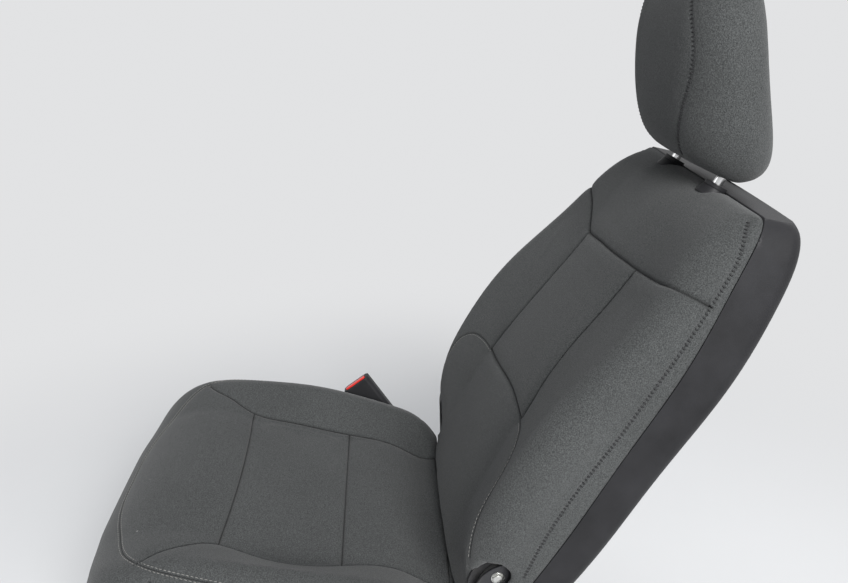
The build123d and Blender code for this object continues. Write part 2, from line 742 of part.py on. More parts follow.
def rear_body(inset, bulge, front):
    """The rear of the back, drawn in by inset at its sides, rear and top, forward to front."""
    rows = back_rows()
    faces = []
    for row in rows:
        half, rear = row["half"] - inset, row["base"] + inset
        edge = (panel_edge - row["base"]) * firm_corner
        lines = [
            Line((-half, front), (half, front)),
            Line((half, front), (half, rear + edge)), Line((-half, front), (-half, rear + edge)),
            corner_arc(half, rear, edge), mirror(corner_arc(half, rear, edge), about=Plane.YZ),
            ThreePointArc((edge - half, rear), (0, rear - bulge), (half - edge, rear)),
        ]
        at = row["at"] - (inset if row is rows[-1] else 0)
        faces.append(back_plane(at, row["tilt"]) * make_face(lines))
    return loft(faces)


def arm_room(side, x_to):
    """The room for the arm, the recliner and the tower beside the lower end of the back."""
    reach = 4 * drum_r
    thick = x_to - drum_half
    room = rod(0, 0, foam_notch_r, drum_half, x_to)
    room += Pos(drum_half, 0, 0) * Box(thick, reach, reach, align=(Align.MIN, Align.CENTER, Align.MAX))
    room += Pos(drum_half, 0, 0) * Box(thick, reach, foam_notch_r, align=(Align.MIN, Align.MIN, Align.MIN))
    return room if side == "l" else mirror(room, about=Plane.YZ)


def arch_notch():
    """The arched notch in the flap of the back outside the recliner, open downward."""
    wide = 2 * back_half
    notch = rod(-arch_ahead, arch_above, arch_r, flap_inner - seat_gap, wide)
    return notch + Pos(flap_inner - seat_gap, -arch_ahead, arch_above) * Box(
        wide, 2 * arch_r, 2 * drum_r, align=(Align.MIN, Align.CENTER, Align.MAX))


def upright(side, radius, low, high):
    """A round bar up the line of one headrest post, between two heights in the back."""
    return Pos(side * post_spread, -post_ahead, low) * Cylinder(
        radius, high - low, align=(Align.CENTER, Align.CENTER, Align.MIN))


def sleeve_seats():
    """The room for the heads of both sleeves in the top of the back."""
    low = sleeve_top - sleeve_head - seat_gap
    seats = [upright(side, sleeve_head_r + seat_gap, low, post_top) for side in SIDES.values()]
    return seats[0] + seats[1]


def backrest():
    """The foam and cover of the back, with its rounded lower end and its headrest holes."""
    faces = []
    for row in back_rows():
        row["base"] = panel_edge + seat_gap
        faces.append(pad_section(back_plane(row["at"], row["tilt"]), row, 0, sloped=True))
    pad = loft(faces) + rear_body(panel_wall + 2 * seat_gap, panel_bulge, panel_edge + 4 * seat_gap)
    wide = back_half + swing_gap
    below = Pos(0, 0, -2 * drum_r) * Box(2 * wide, 4 * drum_r, 4 * drum_r)
    pad -= below - rod(0, 0, drum_r, -wide, wide)
    pad -= arm_room("l", flap_inner)
    pad -= arm_room("r", wide)
    pad -= arch_notch()
    for side in SIDES.values():
        pad -= upright(side, sleeve_r + seat_gap, post_foot - seat_gap, sleeve_top)
    return leaned(pad - sleeve_seats())


def back_panel():
    """The hard shell over the rear and the sides of the back, open in front and below."""
    front = panel_edge + back_depth
    shell = rear_body(0, panel_bulge, panel_edge) - rear_body(panel_wall, panel_bulge, front)
    below = Pos(0, 0, panel_low) * Box(3 * back_half, 6 * drum_r, 6 * drum_r,
                                       align=(Align.CENTER, Align.CENTER, Align.MAX))
    rooms = arm_room("l", flap_inner) + arm_room("r", back_half + swing_gap)
    return leaned(shell - below - rooms - sleeve_seats())


def back_arm(side):
    """The arm of the back frame that turns on the recliner, with its hub."""
    near = drum_half + seat_gap
    body = rod(0, 0, arm_r, near, near + arm_sheet)
    body += rod(0, 0, recliner_hub_r, near + arm_sheet, side_outer)
    return leaned(on_side(side, body))


def headrest_sleeve(side):
    """The guide sleeve in the top of the back for one headrest post."""
    at = SIDES[side]
    foot_s = sleeve_top - sleeve_length
    head = upright(at, sleeve_head_r, sleeve_top - sleeve_head, sleeve_top)
    body = upright(at, sleeve_r, foot_s, sleeve_top) + head
    return leaned(body - upright(at, post_r + running_gap, foot_s, sleeve_top))


def headrest_posts():
    """The two steel posts of the headrest, with the height notches in one of them."""
    posts = [upright(side, post_r, post_foot, post_top) for side in SIDES.values()]
    first = sleeve_top - notch_pitch
    for step in range(post_notches):
        posts[0] -= Pos(post_spread + 2 * post_r - notch_depth, -post_ahead, first - step * notch_pitch) * Box(
            2 * post_r, 2 * post_r, notch_height)
    return leaned(posts[0] + posts[1])


def headrest():
    """The headrest's foam and cover, bored for its posts."""
    rows = sized_rows(HEADREST, headrest_rise, headrest_half, headrest_depth, headrest_low)
    pad = loft([pad_section(back_plane(row["at"], row["tilt"]), row, round_corner) for row in rows])
    for side in SIDES.values():
        pad -= upright(side, post_r + running_gap, post_foot, post_top + running_gap)
    return leaned(pad)


for side in SIDES:
    save(f"front_foot_{side}", foot(side, "front"))
    save(f"rear_foot_{side}", foot(side, "rear"))
    save(f"lower_rail_{side}", lower_rail(side))
    save(f"upper_rail_{side}", upper_rail(side))
    save(f"glide_shoes_{side}", glide_shoes(side))
    save(f"riser_{side}", riser(side))
    save(f"rear_link_{side}", lift_link(side, lift_rear_y))
    save(f"front_link_{side}", lift_link(side, lift_front_y))
    save(f"side_plate_{side}", side_plate(side))
    save(f"recliner_{side}", recliner(side))
    save(f"back_arm_{side}", back_arm(side))
    save(f"headrest_sleeve_{side}", headrest_sleeve(side))

save("slide_gearboxes", slide_gearbox("l") + slide_gearbox("r"))
save("slide_drive", slide_drive())
save("rear_lift_tube", lift_tube(rear_tube_y))
save("front_lift_tube", lift_tube(front_tube_y))
save("front_pan", front_pan())
save("cross_tube", cross_tube())
save("spring_bar", spring_bar())
save("cushion_springs", Compound(children=cushion_springs()))
save("lift_motor", lift_motor())
save("outer_shield", outer_shield())
save("inner_shield", inner_shield())
save("recline_lever", recline_lever())
save("seat_switch", seat_switch())
save("buckle_stalk", buckle_stalk())
save("buckle_housing", buckle_housing())
save("buckle_button", buckle_button())
save("cushion", cushion())
save("backrest", backrest())
save("back_panel", back_panel())
save("headrest_posts", headrest_posts())
save("headrest", headrest())
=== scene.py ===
# %% [markdown]
# # A vehicle's front seat, dressed around its construction
# The construction (rails, lift, frame, shields, buckle and plain pads) comes in as a fixed frame,
# in metres. This lesson gives each piece its real finish and turns the plain pads into sewn ones.

# %% Load the fixed frame
import json
from math import cos, pi, radians, sin

import bmesh
import bpy
import numpy as np
from mathutils import Matrix, Vector
from mathutils.bvhtree import BVHTree
from mathutils.kdtree import KDTree


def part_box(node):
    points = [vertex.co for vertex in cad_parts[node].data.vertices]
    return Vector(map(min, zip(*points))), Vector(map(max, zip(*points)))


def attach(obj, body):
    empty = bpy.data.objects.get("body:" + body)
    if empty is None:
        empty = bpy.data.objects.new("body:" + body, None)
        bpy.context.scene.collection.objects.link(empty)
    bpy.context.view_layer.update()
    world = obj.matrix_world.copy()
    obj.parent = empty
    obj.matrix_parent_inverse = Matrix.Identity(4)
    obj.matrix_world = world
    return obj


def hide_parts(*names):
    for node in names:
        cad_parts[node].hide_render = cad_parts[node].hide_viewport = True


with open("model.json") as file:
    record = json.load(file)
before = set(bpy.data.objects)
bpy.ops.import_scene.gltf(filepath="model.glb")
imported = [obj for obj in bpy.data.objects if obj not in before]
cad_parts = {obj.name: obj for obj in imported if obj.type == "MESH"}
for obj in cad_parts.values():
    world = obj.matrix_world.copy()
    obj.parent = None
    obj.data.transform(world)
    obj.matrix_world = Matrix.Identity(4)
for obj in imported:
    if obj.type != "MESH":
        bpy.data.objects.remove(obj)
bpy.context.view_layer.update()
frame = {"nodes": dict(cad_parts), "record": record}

MM = 0.001
nodes = frame["nodes"]

# %% [markdown]
# The camera comes first, because every shape is judged through it. It stands beside the seat,
# above the outer bolster, and looks across the cushion. It could be placed by eye; here its
# place, angles and focal length were fitted to seam junctions and outlines, so that shapes can be
# compared point by point. The lens is worked out for a picture 848 pixels wide.

# %% Camera
PICTURE_WIDTH = 848
FOCAL_PIXELS = 787.4
SENSOR = 36.0
NEAREST_SEEN = 0.02
CAMERA_PLACE = Vector((0.9611, 0.0617, 1.0289))
YAW, PITCH, ROLL = radians(2.80), radians(22.30), radians(-0.867)

look = Vector((-cos(YAW) * cos(PITCH), sin(YAW) * cos(PITCH), -sin(PITCH)))
level_right = Vector((sin(YAW), cos(YAW), 0))
level_up = level_right.cross(look)
picture_right = cos(ROLL) * level_right + sin(ROLL) * level_up
picture_up = cos(ROLL) * level_up - sin(ROLL) * level_right
turned = Matrix((picture_right, picture_up, -look)).transposed().to_4x4()

camera_data = bpy.data.cameras.new("photo_camera")
camera_data.sensor_width = SENSOR
camera_data.lens = FOCAL_PIXELS / PICTURE_WIDTH * SENSOR
camera_data.clip_start = NEAREST_SEEN
camera = bpy.data.objects.new("photo_camera", camera_data)
camera.matrix_world = Matrix.Translation(CAMERA_PLACE) @ turned
bpy.context.scene.collection.objects.link(camera)
bpy.context.scene.camera = camera
bpy.context.scene.view_settings.view_transform = "Standard"
print("camera: lens", round(camera_data.lens, 2), "mm")

# %% [markdown]
# Moulded plastic and paint have a fine grain of small raised cells. It could be real geometry,
# but cells a millimetre wide would need millions of faces, so it is a height for a Bump node. It
# sits in a shader group, which several finishes share. The group reads Object coordinates, so the
# grain has its real size on every piece and needs no layout.


# %% Shader group: moulded grain
def add_node(tree, kind, settings=None, **inputs):
    """A shader node with its settings and its input values or links."""
    made = tree.nodes.new(kind)
    for key, value in (settings or {}).items():
        setattr(made, key, value)
    for key, value in inputs.items():
        socket = made.inputs[int(key[1:])] if key[1:].isdigit() else made.inputs[key.replace("_", " ")]
        if isinstance(value, bpy.types.NodeSocket):
            tree.links.new(value, socket)
        else:
            socket.default_value = value
    return made


def new_group(name, inputs, outputs):
    """An empty shader group with named sockets."""
    tree = bpy.data.node_groups.new(name, "ShaderNodeTree")
    for socket, kind, value in inputs:
        made = tree.interface.new_socket(socket, in_out="INPUT", socket_type=kind)
        if value is not None:
            made.default_value = value
    for socket, kind in outputs:
        tree.interface.new_socket(socket, in_out="OUTPUT", socket_type=kind)
    return tree, tree.nodes.new("NodeGroupInput"), tree.nodes.new("NodeGroupOutput")


FINE_GRAINS_PER_METRE = 4200.0


def grain_group():
    """Moulded grain: small raised cells with fine noise between them."""
    tree, given, result = new_group(
        "moulded_grain",
        [("Cells per metre", "NodeSocketFloat", 900.0), ("Fineness", "NodeSocketFloat", 0.35)],
        [("Height", "NodeSocketFloat")])
    place = add_node(tree, "ShaderNodeTexCoord")
    cells = add_node(tree, "ShaderNodeTexVoronoi", {"feature": "SMOOTH_F1"},
                     Vector=place.outputs["Object"], Scale=given.outputs["Cells per metre"])
    fine = add_node(tree, "ShaderNodeTexNoise", None, Vector=place.outputs["Object"],
                    Scale=FINE_GRAINS_PER_METRE, Detail=2.0)
    mixed = add_node(tree, "ShaderNodeMix", None, i0=given.outputs["Fineness"],
                     i2=cells.outputs["Distance"], i3=fine.outputs["Fac"])
    tree.links.new(mixed.outputs[0], result.inputs["Height"])
    return tree


grain = grain_group()
print(grain.name, "group:", len(grain.nodes), "nodes")

# %% [markdown]
# Handling, dust and uneven paint change the colour and the gloss of a real surface slowly, over
# centimetres. A picture of dirt would do it for one piece; slow noise does it for all of them,
# and moves colour and roughness together, as wear does.


# %% Shader group: wear
def wear_group():
    """Slow change of colour and gloss over a surface, as from handling, dust and uneven paint."""
    tree, given, result = new_group(
        "wear",
        [("Color", "NodeSocketColor", None), ("Worn color", "NodeSocketColor", None),
         ("Roughness", "NodeSocketFloat", 0.5), ("Spread", "NodeSocketFloat", 0.08),
         ("Patches per metre", "NodeSocketFloat", 14.0)],
        [("Color", "NodeSocketColor"), ("Roughness", "NodeSocketFloat")])
    place = add_node(tree, "ShaderNodeTexCoord")
    patches = add_node(tree, "ShaderNodeTexNoise", None, Vector=place.outputs["Object"],
                       Scale=given.outputs["Patches per metre"], Detail=6.0, Roughness=0.62)
    share = add_node(tree, "ShaderNodeMapRange", None, Value=patches.outputs["Fac"],
                     From_Min=0.35, From_Max=0.75)
    colour = add_node(tree, "ShaderNodeMix", {"data_type": "RGBA"}, i0=share.outputs["Result"],
                      i6=given.outputs["Color"], i7=given.outputs["Worn color"])
    centred = add_node(tree, "ShaderNodeMath", {"operation": "SUBTRACT"}, i0=patches.outputs["Fac"],
                       i1=0.5)
    scaled = add_node(tree, "ShaderNodeMath", {"operation": "MULTIPLY"}, i0=centred.outputs[0],
                      i1=given.outputs["Spread"])
    rough = add_node(tree, "ShaderNodeMath", {"operation": "ADD", "use_clamp": True},
                     i0=given.outputs["Roughness"], i1=scaled.outputs[0])
    tree.links.new(colour.outputs[2], result.inputs["Color"])
    tree.links.new(rough.outputs[0], result.inputs["Roughness"])
    return tree


wear = wear_group()
print(wear.name, "group:", len(wear.nodes), "nodes")

# %% [markdown]
# The covers are a charcoal knit. Real loops are too fine to model, and a flat grey looks like
# rubber. What the eye takes in from a metre away is the mix of dark and light yarn, a speck of
# lint here and there, and folds that are darker at the bottom. The group makes these three. The
# dark in the folds is painted shade: it is read from an attribute, stored by how near a seam is,
# that the pads get when they are sewn.

# %% Shader group: knit
FLECKS_PER_METRE, PATCHES_PER_METRE, SPECKS_PER_METRE = 760.0, 9.0, 14.0
SPECK_SIZE = 0.016
LINT_COLOR = (0.30, 0.30, 0.29, 1)
# The darkest share of the painted shade down in a fold
PAINTED_FOLD_SHADE = 0.35


def yarn_colour(tree, given, place, flecks):
    """Dark and light yarn mixed by the flecks, a little uneven, and darker near a seam by painted shade."""
    fleck_share = add_node(tree, "ShaderNodeMapRange", None, Value=flecks.outputs["Fac"],
                           From_Min=0.36, From_Max=0.68)
    yarn = add_node(tree, "ShaderNodeMix", {"data_type": "RGBA"}, i0=fleck_share.outputs["Result"],
                    i6=given.outputs["Dark yarn"], i7=given.outputs["Light yarn"])
    slow = add_node(tree, "ShaderNodeTexNoise", None, Vector=place, Scale=PATCHES_PER_METRE, Detail=2.0)
    slow_share = add_node(tree, "ShaderNodeMapRange", None, Value=slow.outputs["Fac"],
                          From_Min=0.3, From_Max=0.7, To_Min=0.93, To_Max=1.05)
    # Painted shade: the cloth is darkened down in the folds of the seams, by the stored seam attribute
    seam = add_node(tree, "ShaderNodeAttribute", {"attribute_name": "seam"})
    shade = add_node(tree, "ShaderNodeMapRange", None, Value=seam.outputs["Fac"],
                     To_Min=1.0, To_Max=PAINTED_FOLD_SHADE)
    total = add_node(tree, "ShaderNodeMath", {"operation": "MULTIPLY"}, i0=slow_share.outputs["Result"],
                     i1=shade.outputs["Result"])
    return add_node(tree, "ShaderNodeVectorMath", {"operation": "SCALE"}, i0=yarn.outputs[2],
                    Scale=total.outputs[0])


def knit_group():
    """Charcoal knit: fine loops, flecks of lighter yarn, a few specks of lint, and painted shade in the
    seams.
    """
    tree, given, result = new_group(
        "knit",
        [("Dark yarn", "NodeSocketColor", None), ("Light yarn", "NodeSocketColor", None),
         ("Loops per metre", "NodeSocketFloat", 780.0), ("Lint", "NodeSocketFloat", 0.0)],
        [("Color", "NodeSocketColor"), ("Height", "NodeSocketFloat")])
    place = add_node(tree, "ShaderNodeTexCoord").outputs["Object"]
    loops = add_node(tree, "ShaderNodeTexVoronoi", {"feature": "F1"}, Vector=place,
                     Scale=given.outputs["Loops per metre"], Randomness=0.55)
    flecks = add_node(tree, "ShaderNodeTexNoise", None, Vector=place, Scale=FLECKS_PER_METRE,
                      Detail=3.0, Roughness=0.75)
    cloth = yarn_colour(tree, given, place, flecks)
    specks = add_node(tree, "ShaderNodeTexVoronoi", {"feature": "F1"}, Vector=place,
                      Scale=SPECKS_PER_METRE)
    speck = add_node(tree, "ShaderNodeMath", {"operation": "LESS_THAN"}, i0=specks.outputs["Distance"],
                     i1=SPECK_SIZE)
    lint = add_node(tree, "ShaderNodeMath", {"operation": "MULTIPLY"}, i0=speck.outputs[0],
                    i1=given.outputs["Lint"])
    colour = add_node(tree, "ShaderNodeMix", {"data_type": "RGBA"}, i0=lint.outputs[0],
                      i6=cloth.outputs[0], i7=LINT_COLOR)
    height = add_node(tree, "ShaderNodeMath", {"operation": "SUBTRACT"}, i0=flecks.outputs["Fac"],
                      i1=loops.outputs["Distance"])
    tree.links.new(colour.outputs[2], result.inputs["Color"])
    tree.links.new(height.outputs[0], result.inputs["Height"])
    return tree


knit = knit_group()
print(knit.name, "group:", len(knit.nodes), "nodes")

# %% [markdown]
# The seat has few finishes: knit on the pads, black moulded plastic on shields and rear panel,
# black dip paint on the pressed frame, dull zinc on rails and links, and bright tube at the
# headrest. Each could get a shader tree of its own. A recipe with a few numbers is shorter, and
# keeps the finishes alike in kind, so there is one for hard surfaces and one for cloth.


# %% Recipes for the finishes
def place_group(tree, group, **inputs):
    """A shared group, placed in a material."""
    made = tree.nodes.new("ShaderNodeGroup")
    made.node_tree = group
    for key, value in inputs.items():
        made.inputs[key.replace("_", " ")].default_value = value
    return made


def new_material(name):
    """A material with its shader, ready for links."""
    made = bpy.data.materials.new(name)
    made.use_nodes = True
    return made, made.node_tree, made.node_tree.nodes["Principled BSDF"]


def hard_finish(name, colour, worn, roughness, metallic=0.0, cells=900.0, bump=0.1, coat=0.0, gloss=0.3):
    """A plastic, paint or metal: worn colour and gloss, moulded or rolled grain, softened edges."""
    made, tree, shader = new_material(name)
    worn_look = place_group(tree, wear, Color=(*colour, 1), Worn_color=(*worn, 1), Roughness=roughness,
                            Spread=0.12)
    texture = place_group(tree, grain, Cells_per_metre=cells)
    rounded = add_node(tree, "ShaderNodeBevel", {"samples": 4}, Radius=0.8 * MM)
    bumped = add_node(tree, "ShaderNodeBump", None, Strength=bump, Distance=0.3 * MM,
                      Height=texture.outputs["Height"], Normal=rounded.outputs["Normal"])
    tree.links.new(worn_look.outputs["Color"], shader.inputs["Base Color"])
    tree.links.new(worn_look.outputs["Roughness"], shader.inputs["Roughness"])
    tree.links.new(bumped.outputs["Normal"], shader.inputs["Normal"])
    shader.inputs["Metallic"].default_value = metallic
    shader.inputs["Coat Weight"].default_value = coat
    shader.inputs["Specular IOR Level"].default_value = 0.5 if metallic else gloss
    return made


def cloth_finish(name, dark, light, lint=0.6):
    """A knitted cover."""
    made, tree, shader = new_material(name)
    knitted = place_group(tree, knit, Dark_yarn=(*dark, 1), Light_yarn=(*light, 1), Lint=lint)
    bumped = add_node(tree, "ShaderNodeBump", None, Strength=0.5, Distance=0.45 * MM,
                      Height=knitted.outputs["Height"])
    tree.links.new(knitted.outputs["Color"], shader.inputs["Base Color"])
    tree.links.new(bumped.outputs["Normal"], shader.inputs["Normal"])
    for socket, value in (("Roughness", 0.92), ("Sheen Weight", 0.10), ("Sheen Roughness", 0.5),
                          ("Specular IOR Level", 0.18)):
        shader.inputs[socket].default_value = value
    return made


finishes = {"knit_fabric": cloth_finish("knit_fabric", (0.020, 0.0215, 0.0215), (0.074, 0.077, 0.077))}
print("the knit has", len(finishes["knit_fabric"].node_tree.nodes), "nodes")

# %% Finishes on the construction
# Each hard finish: colour, worn colour, roughness, then what differs from a plain plastic
HARD_FINISHES = {
    "black_plastic": ((0.012, 0.012, 0.013), (0.020, 0.020, 0.022), 0.50, {"bump": 0.35, "gloss": 0.16}),
    "red_plastic": ((0.62, 0.026, 0.018), (0.50, 0.020, 0.014), 0.30, {"bump": 0.05, "coat": 0.3}),
    "shoe_plastic": ((0.66, 0.63, 0.54), (0.50, 0.47, 0.40), 0.5, {}),
    "frame_paint": ((0.022, 0.022, 0.024), (0.045, 0.043, 0.040), 0.38, {"cells": 500, "bump": 0.12}),
    "zinc_steel": ((0.56, 0.56, 0.54), (0.40, 0.41, 0.41), 0.36,
                   {"metallic": 1.0, "cells": 300, "bump": 0.06}),
    "post_steel": ((0.68, 0.68, 0.68), (0.58, 0.58, 0.59), 0.18,
                   {"metallic": 1.0, "cells": 1500, "bump": 0.02}),
    "cast_alloy": ((0.60, 0.60, 0.59), (0.45, 0.45, 0.44), 0.48,
                   {"metallic": 1.0, "cells": 1200, "bump": 0.3}),
    "motor_paint": ((0.035, 0.036, 0.040), (0.06, 0.06, 0.06), 0.34, {"cells": 700}),
    "grey_thread": ((0.25, 0.245, 0.23), (0.17, 0.165, 0.155), 0.8, {"cells": 2500, "bump": 0.3}),
    "black_thread": ((0.010, 0.010, 0.011), (0.018, 0.018, 0.019), 0.6, {"cells": 2500, "bump": 0.3}),
    # Painted shade: near black, for the lines laid down in the folds
    "seam_shadow": ((0.006, 0.006, 0.006), (0.010, 0.010, 0.010), 0.95, {"cells": 2500, "bump": 0.2}),
}
for name, (colour, worn, roughness, differences) in HARD_FINISHES.items():
    finishes[name] = hard_finish(name, colour, worn, roughness, **differences)

slot_of = {part["node"]: part["material_slot"] for part in frame["record"]["subparts"]}
for name, piece in nodes.items():
    piece.data.materials.clear()
    piece.data.materials.append(finishes[slot_of[name]])
print("finishes:", len(finishes), "of which", len(set(slot_of.values())), "are on", len(nodes), "nodes")

# %% [markdown]
# A seat cover is a few flat cloths sewn together and drawn over foam. The seams are tied down to
# wires in the foam, so the cloth swells between them and dips along them. Two ways to get that:
# shade the dips as bump, which fails on outlines, or let cloth under pressure swell against held
# seams. The second is used: each pad starts from its construction solid, the seams are held, and
# the rest fills out. Each seam is given as a short list of places on the pad.

# %% Where the cushion's seams lie
# Each seam: its kind, then its places. A plain seam is a fold, a twin seam has a row of stitches
# on each side, a single seam has one on the side of the insert, and a laced seam has coarse
# stitches across it. Places are in millimetres, on the back in its own frame.


def mirrored(points):
    """The same places on the other side of the seat."""
    return [(-point[0], *point[1:]) for point in points]


cushion_side = [(142, 130, 282), (146, 60, 305), (153, -10, 324), (158, -90, 348), (156, -160, 368),
                (178, -200, 386), (196, -228, 394), (214, -243, 394)]
cushion_edge = [(236, 118, 312), (246, 60, 335), (248, 0, 350), (245, -90, 366), (237, -158, 378),
                (228, -211, 388), (218, -236, 391), (202, -256, 392), (171, -277, 386),
                (109, -298, 367), (55, -309, 358), (0, -310, 357)]
cushion_skirt = [(258, 60, 270), (260, 0, 285), (259, -110, 300), (256, -215, 318), (245, -236, 345),
                 (232, -222, 376)]
CUSHION_SEAMS = [
    ("plain", cushion_side), ("plain", mirrored(cushion_side)),
    ("twin", cushion_edge + mirrored(cushion_edge)[::-1][1:]),
    ("plain", [(156, -160, 368), (80, -158, 364), (0, -157, 363), (-80, -158, 364), (-156, -160, 368)]),
    ("plain", [(153, -10, 324), (70, -10, 323), (0, -10, 322), (-70, -10, 323), (-153, -10, 324)]),
    ("plain", [(142, 130, 281), (80, 135, 276), (0, 136, 274), (-80, 134, 276), (-142, 129, 281)]),
    ("plain", cushion_skirt), ("plain", mirrored(cushion_skirt)),
]
cushion_seams = [(kind, [Vector(p) * MM for p in places]) for kind, places in CUSHION_SEAMS]
print("seams on the cushion:", len(cushion_seams))

# %% Where the seams of back and headrest lie
RECLINE_PLACE = Vector((0, 0.2, 0.325))
RECLINE_ANGLE = radians(29.7)


def on_back(x, along, ahead):
    """A place in the back's own frame, in millimetres, brought to the shared frame in metres."""
    along, ahead = along * MM, ahead * MM
    return Vector((x * MM, along * sin(RECLINE_ANGLE) - ahead * cos(RECLINE_ANGLE),
                   along * cos(RECLINE_ANGLE) + ahead * sin(RECLINE_ANGLE))) + RECLINE_PLACE


top_seam = [(-205, 428, 20), (-178, 425, 42), (-140, 412, 56), (-112, 395, 54), (-88, 383, 52),
            (-30, 388, 54), (18, 391, 55), (60, 395, 54), (96, 398, 50), (130, 403, 52), (168, 409, 53),
            (200, 416, 38), (216, 420, 20), (226, 422, 10)]
insert_inner = [(-88, 383, 52), (-92, 317, 58), (-93, 275, 62), (-99, 219, 67), (-107, 180, 71),
                (-113, 150, 71)]
insert_outer = [(96, 398, 50), (95, 317, 58), (95, 275, 62), (101, 219, 67), (109, 190, 71),
                (114, 164, 73)]
insert_foot = [(-113, 150, 71), (-60, 158, 75), (-10, 166, 77), (30, 171, 76), (66, 171, 76),
               (114, 164, 73)]
outer_crest = [(114, 164, 73), (150, 166, 86), (183, 155, 95), (200, 130, 98), (208, 98, 94),
               (213, 63, 85), (216, 25, 68)]
inner_crest = [(-113, 150, 71), (-140, 149, 82), (-172, 140, 92), (-197, 118, 98), (-208, 92, 94),
               (-213, 60, 84), (-216, 25, 68)]
side_lacing = [(176, 506, 2), (214, 450, 8), (228, 390, 13), (236, 320, 17), (240, 251, 18),
               (242, 177, 22), (243, 126, 22), (242, 85, 19), (240, 40, 12)]
head_side = [(58, 545, 60), (80, 575, 98), (97, 610, 122), (97, 640, 139), (86, 664, 155),
             (74, 682, 158), (70, 686, 120)]
BACK_SEAMS = [("plain", top_seam), ("plain", insert_inner), ("plain", insert_outer),
              ("plain", insert_foot), ("single", outer_crest), ("single", inner_crest),
              ("laced", side_lacing), ("laced", mirrored(side_lacing))]
HEAD_SEAMS = [("laced", head_side), ("laced", mirrored(head_side))]
back_seams = [(kind, [on_back(*p) for p in places]) for kind, places in BACK_SEAMS]
head_seams = [(kind, [on_back(*p) for p in places]) for kind, places in HEAD_SEAMS]
print("seams:", len(back_seams), "on the back,", len(head_seams), "on the headrest")

# %% [markdown]
# A real seam is one smooth line in the cloth, and the places above only say roughly where it
# runs. Straight pieces between them would show corners, and a drawn curve would fit only one
# shape of pad. So a curve goes through the places, is laid on the nearest faces and evened.

# %% Seam lines on a surface
SEAM_STEP = 2 * MM


def smooth_line(places, step):
    """A curve through the places, as points a step apart."""
    places = [2 * places[0] - places[1], *places, 2 * places[-1] - places[-2]]
    dense = []
    for a, b, c, d in zip(places, places[1:], places[2:], places[3:]):
        count = max(2, int((c - b).length / step))
        for k in range(count):
            t = k / count
            dense.append(0.5 * (2 * b + (c - a) * t + (2 * a - 5 * b + 4 * c - d) * t * t
                                + (3 * b - a - 3 * c + d) * t * t * t))
    return dense + [places[-2].copy()]


def evened(line, rounds=6):
    """A line of points or directions with its small waves taken out, its ends kept."""
    for _ in range(rounds):
        line = [line[0], *[(a + 2 * b + c) / 4 for a, b, c in zip(line, line[1:], line[2:])], line[-1]]
    return line


def lay_on(surface, line, rounds=4):
    """The line pressed onto a surface and evened, with the surface's normal at each point."""
    for _ in range(rounds):
        line = evened([surface.find_nearest(point)[0] for point in line])
    found = [surface.find_nearest(point) for point in line]
    return [hit[0] for hit in found], evened([hit[1] for hit in found])


def surface_of(piece):
    """A search tree of a mesh's faces."""
    corners = [v.co for v in piece.data.vertices]
    return BVHTree.FromPolygons(corners, [p.vertices for p in piece.data.polygons])


for name, seams in (("cushion", cushion_seams), ("back", back_seams), ("headrest", head_seams)):
    print(name, "seams:", sum(len(smooth_line(places, SEAM_STEP)) for _, places in seams), "points")

# %% [markdown]
# The foam presses the cover out from inside. Pushing every point out along its normal would puff
# the pad evenly, like a balloon. Cloth under pressure finds by itself how far it swells between
# held seams, and asks only for a pressure. Cloth wants faces of one size, so the plain pad is
# merged and remeshed first.


# %% Helpers for objects and meshes
def placed(name, data):
    """A new object in the scene, at the origin."""
    piece = bpy.data.objects.new(name, data)
    bpy.context.scene.collection.objects.link(piece)
    return piece


def per_point(mesh, what):
    """One vector for each point of a mesh, as an array: its place (co) or its normal."""
    values = np.zeros(len(mesh.vertices) * 3)
    mesh.vertices.foreach_get(what, values)
    return values.reshape(-1, 3)


def set_points(mesh, points):
    """Move all points of a mesh."""
    mesh.vertices.foreach_set("co", np.asarray(points, float).ravel())
    mesh.update()


def evaluated(piece):
    """A piece as its modifiers leave it."""
    return piece.evaluated_get(bpy.context.evaluated_depsgraph_get())


def keep_modifiers(piece):
    """Turn a piece's modifiers into its mesh."""
    done = bpy.data.meshes.new_from_object(evaluated(piece))
    piece.modifiers.clear()
    piece.data = done


print("the plain cushion has", len(per_point(nodes["cushion"].data, "co")), "points")

# %% Inflate a pad between its seams
MERGE = 0.02 * MM
SWELLING_FRAMES = 20


def pad_from(node_name, name, voxel):
    """A copy of a construction pad, merged and remeshed evenly."""
    source = bmesh.new()
    source.from_mesh(nodes[node_name].data)
    bmesh.ops.remove_doubles(source, verts=source.verts, dist=MERGE)
    mesh = bpy.data.meshes.new(name)
    source.to_mesh(mesh)
    source.free()
    pad = placed(name, mesh)
    remesh = pad.modifiers.new("even_faces", "REMESH")
    remesh.mode = "VOXEL"
    remesh.voxel_size = voxel
    keep_modifiers(pad)
    print(name, "starts with", len(pad.data.polygons), "even faces")
    return pad


def inflate(pad, held, pressure):
    """Let the cover swell under pressure, with some points held."""
    group = pad.vertex_groups.new(name="held")
    group.add([int(k) for k in held], 1.0, "REPLACE")
    cloth = pad.modifiers.new("cloth", "CLOTH")
    settings = cloth.settings
    settings.vertex_group_mass = "held"
    settings.use_pressure = True
    settings.uniform_pressure_force = pressure
    settings.effector_weights.gravity = 0
    settings.quality = 4
    cloth.collision_settings.use_collision = False
    cloth.point_cache.frame_end = SWELLING_FRAMES
    scene = bpy.context.scene
    for step in range(1, SWELLING_FRAMES + 1):
        scene.frame_set(step)
    swollen = per_point(evaluated(pad).data, "co")
    pad.modifiers.clear()
    pad.vertex_groups.clear()
    scene.frame_set(1)
    print(pad.name, "is held at", len(held), "of", len(swollen), "points")
    return swollen


print("a pad swells over", SWELLING_FRAMES, "frames")
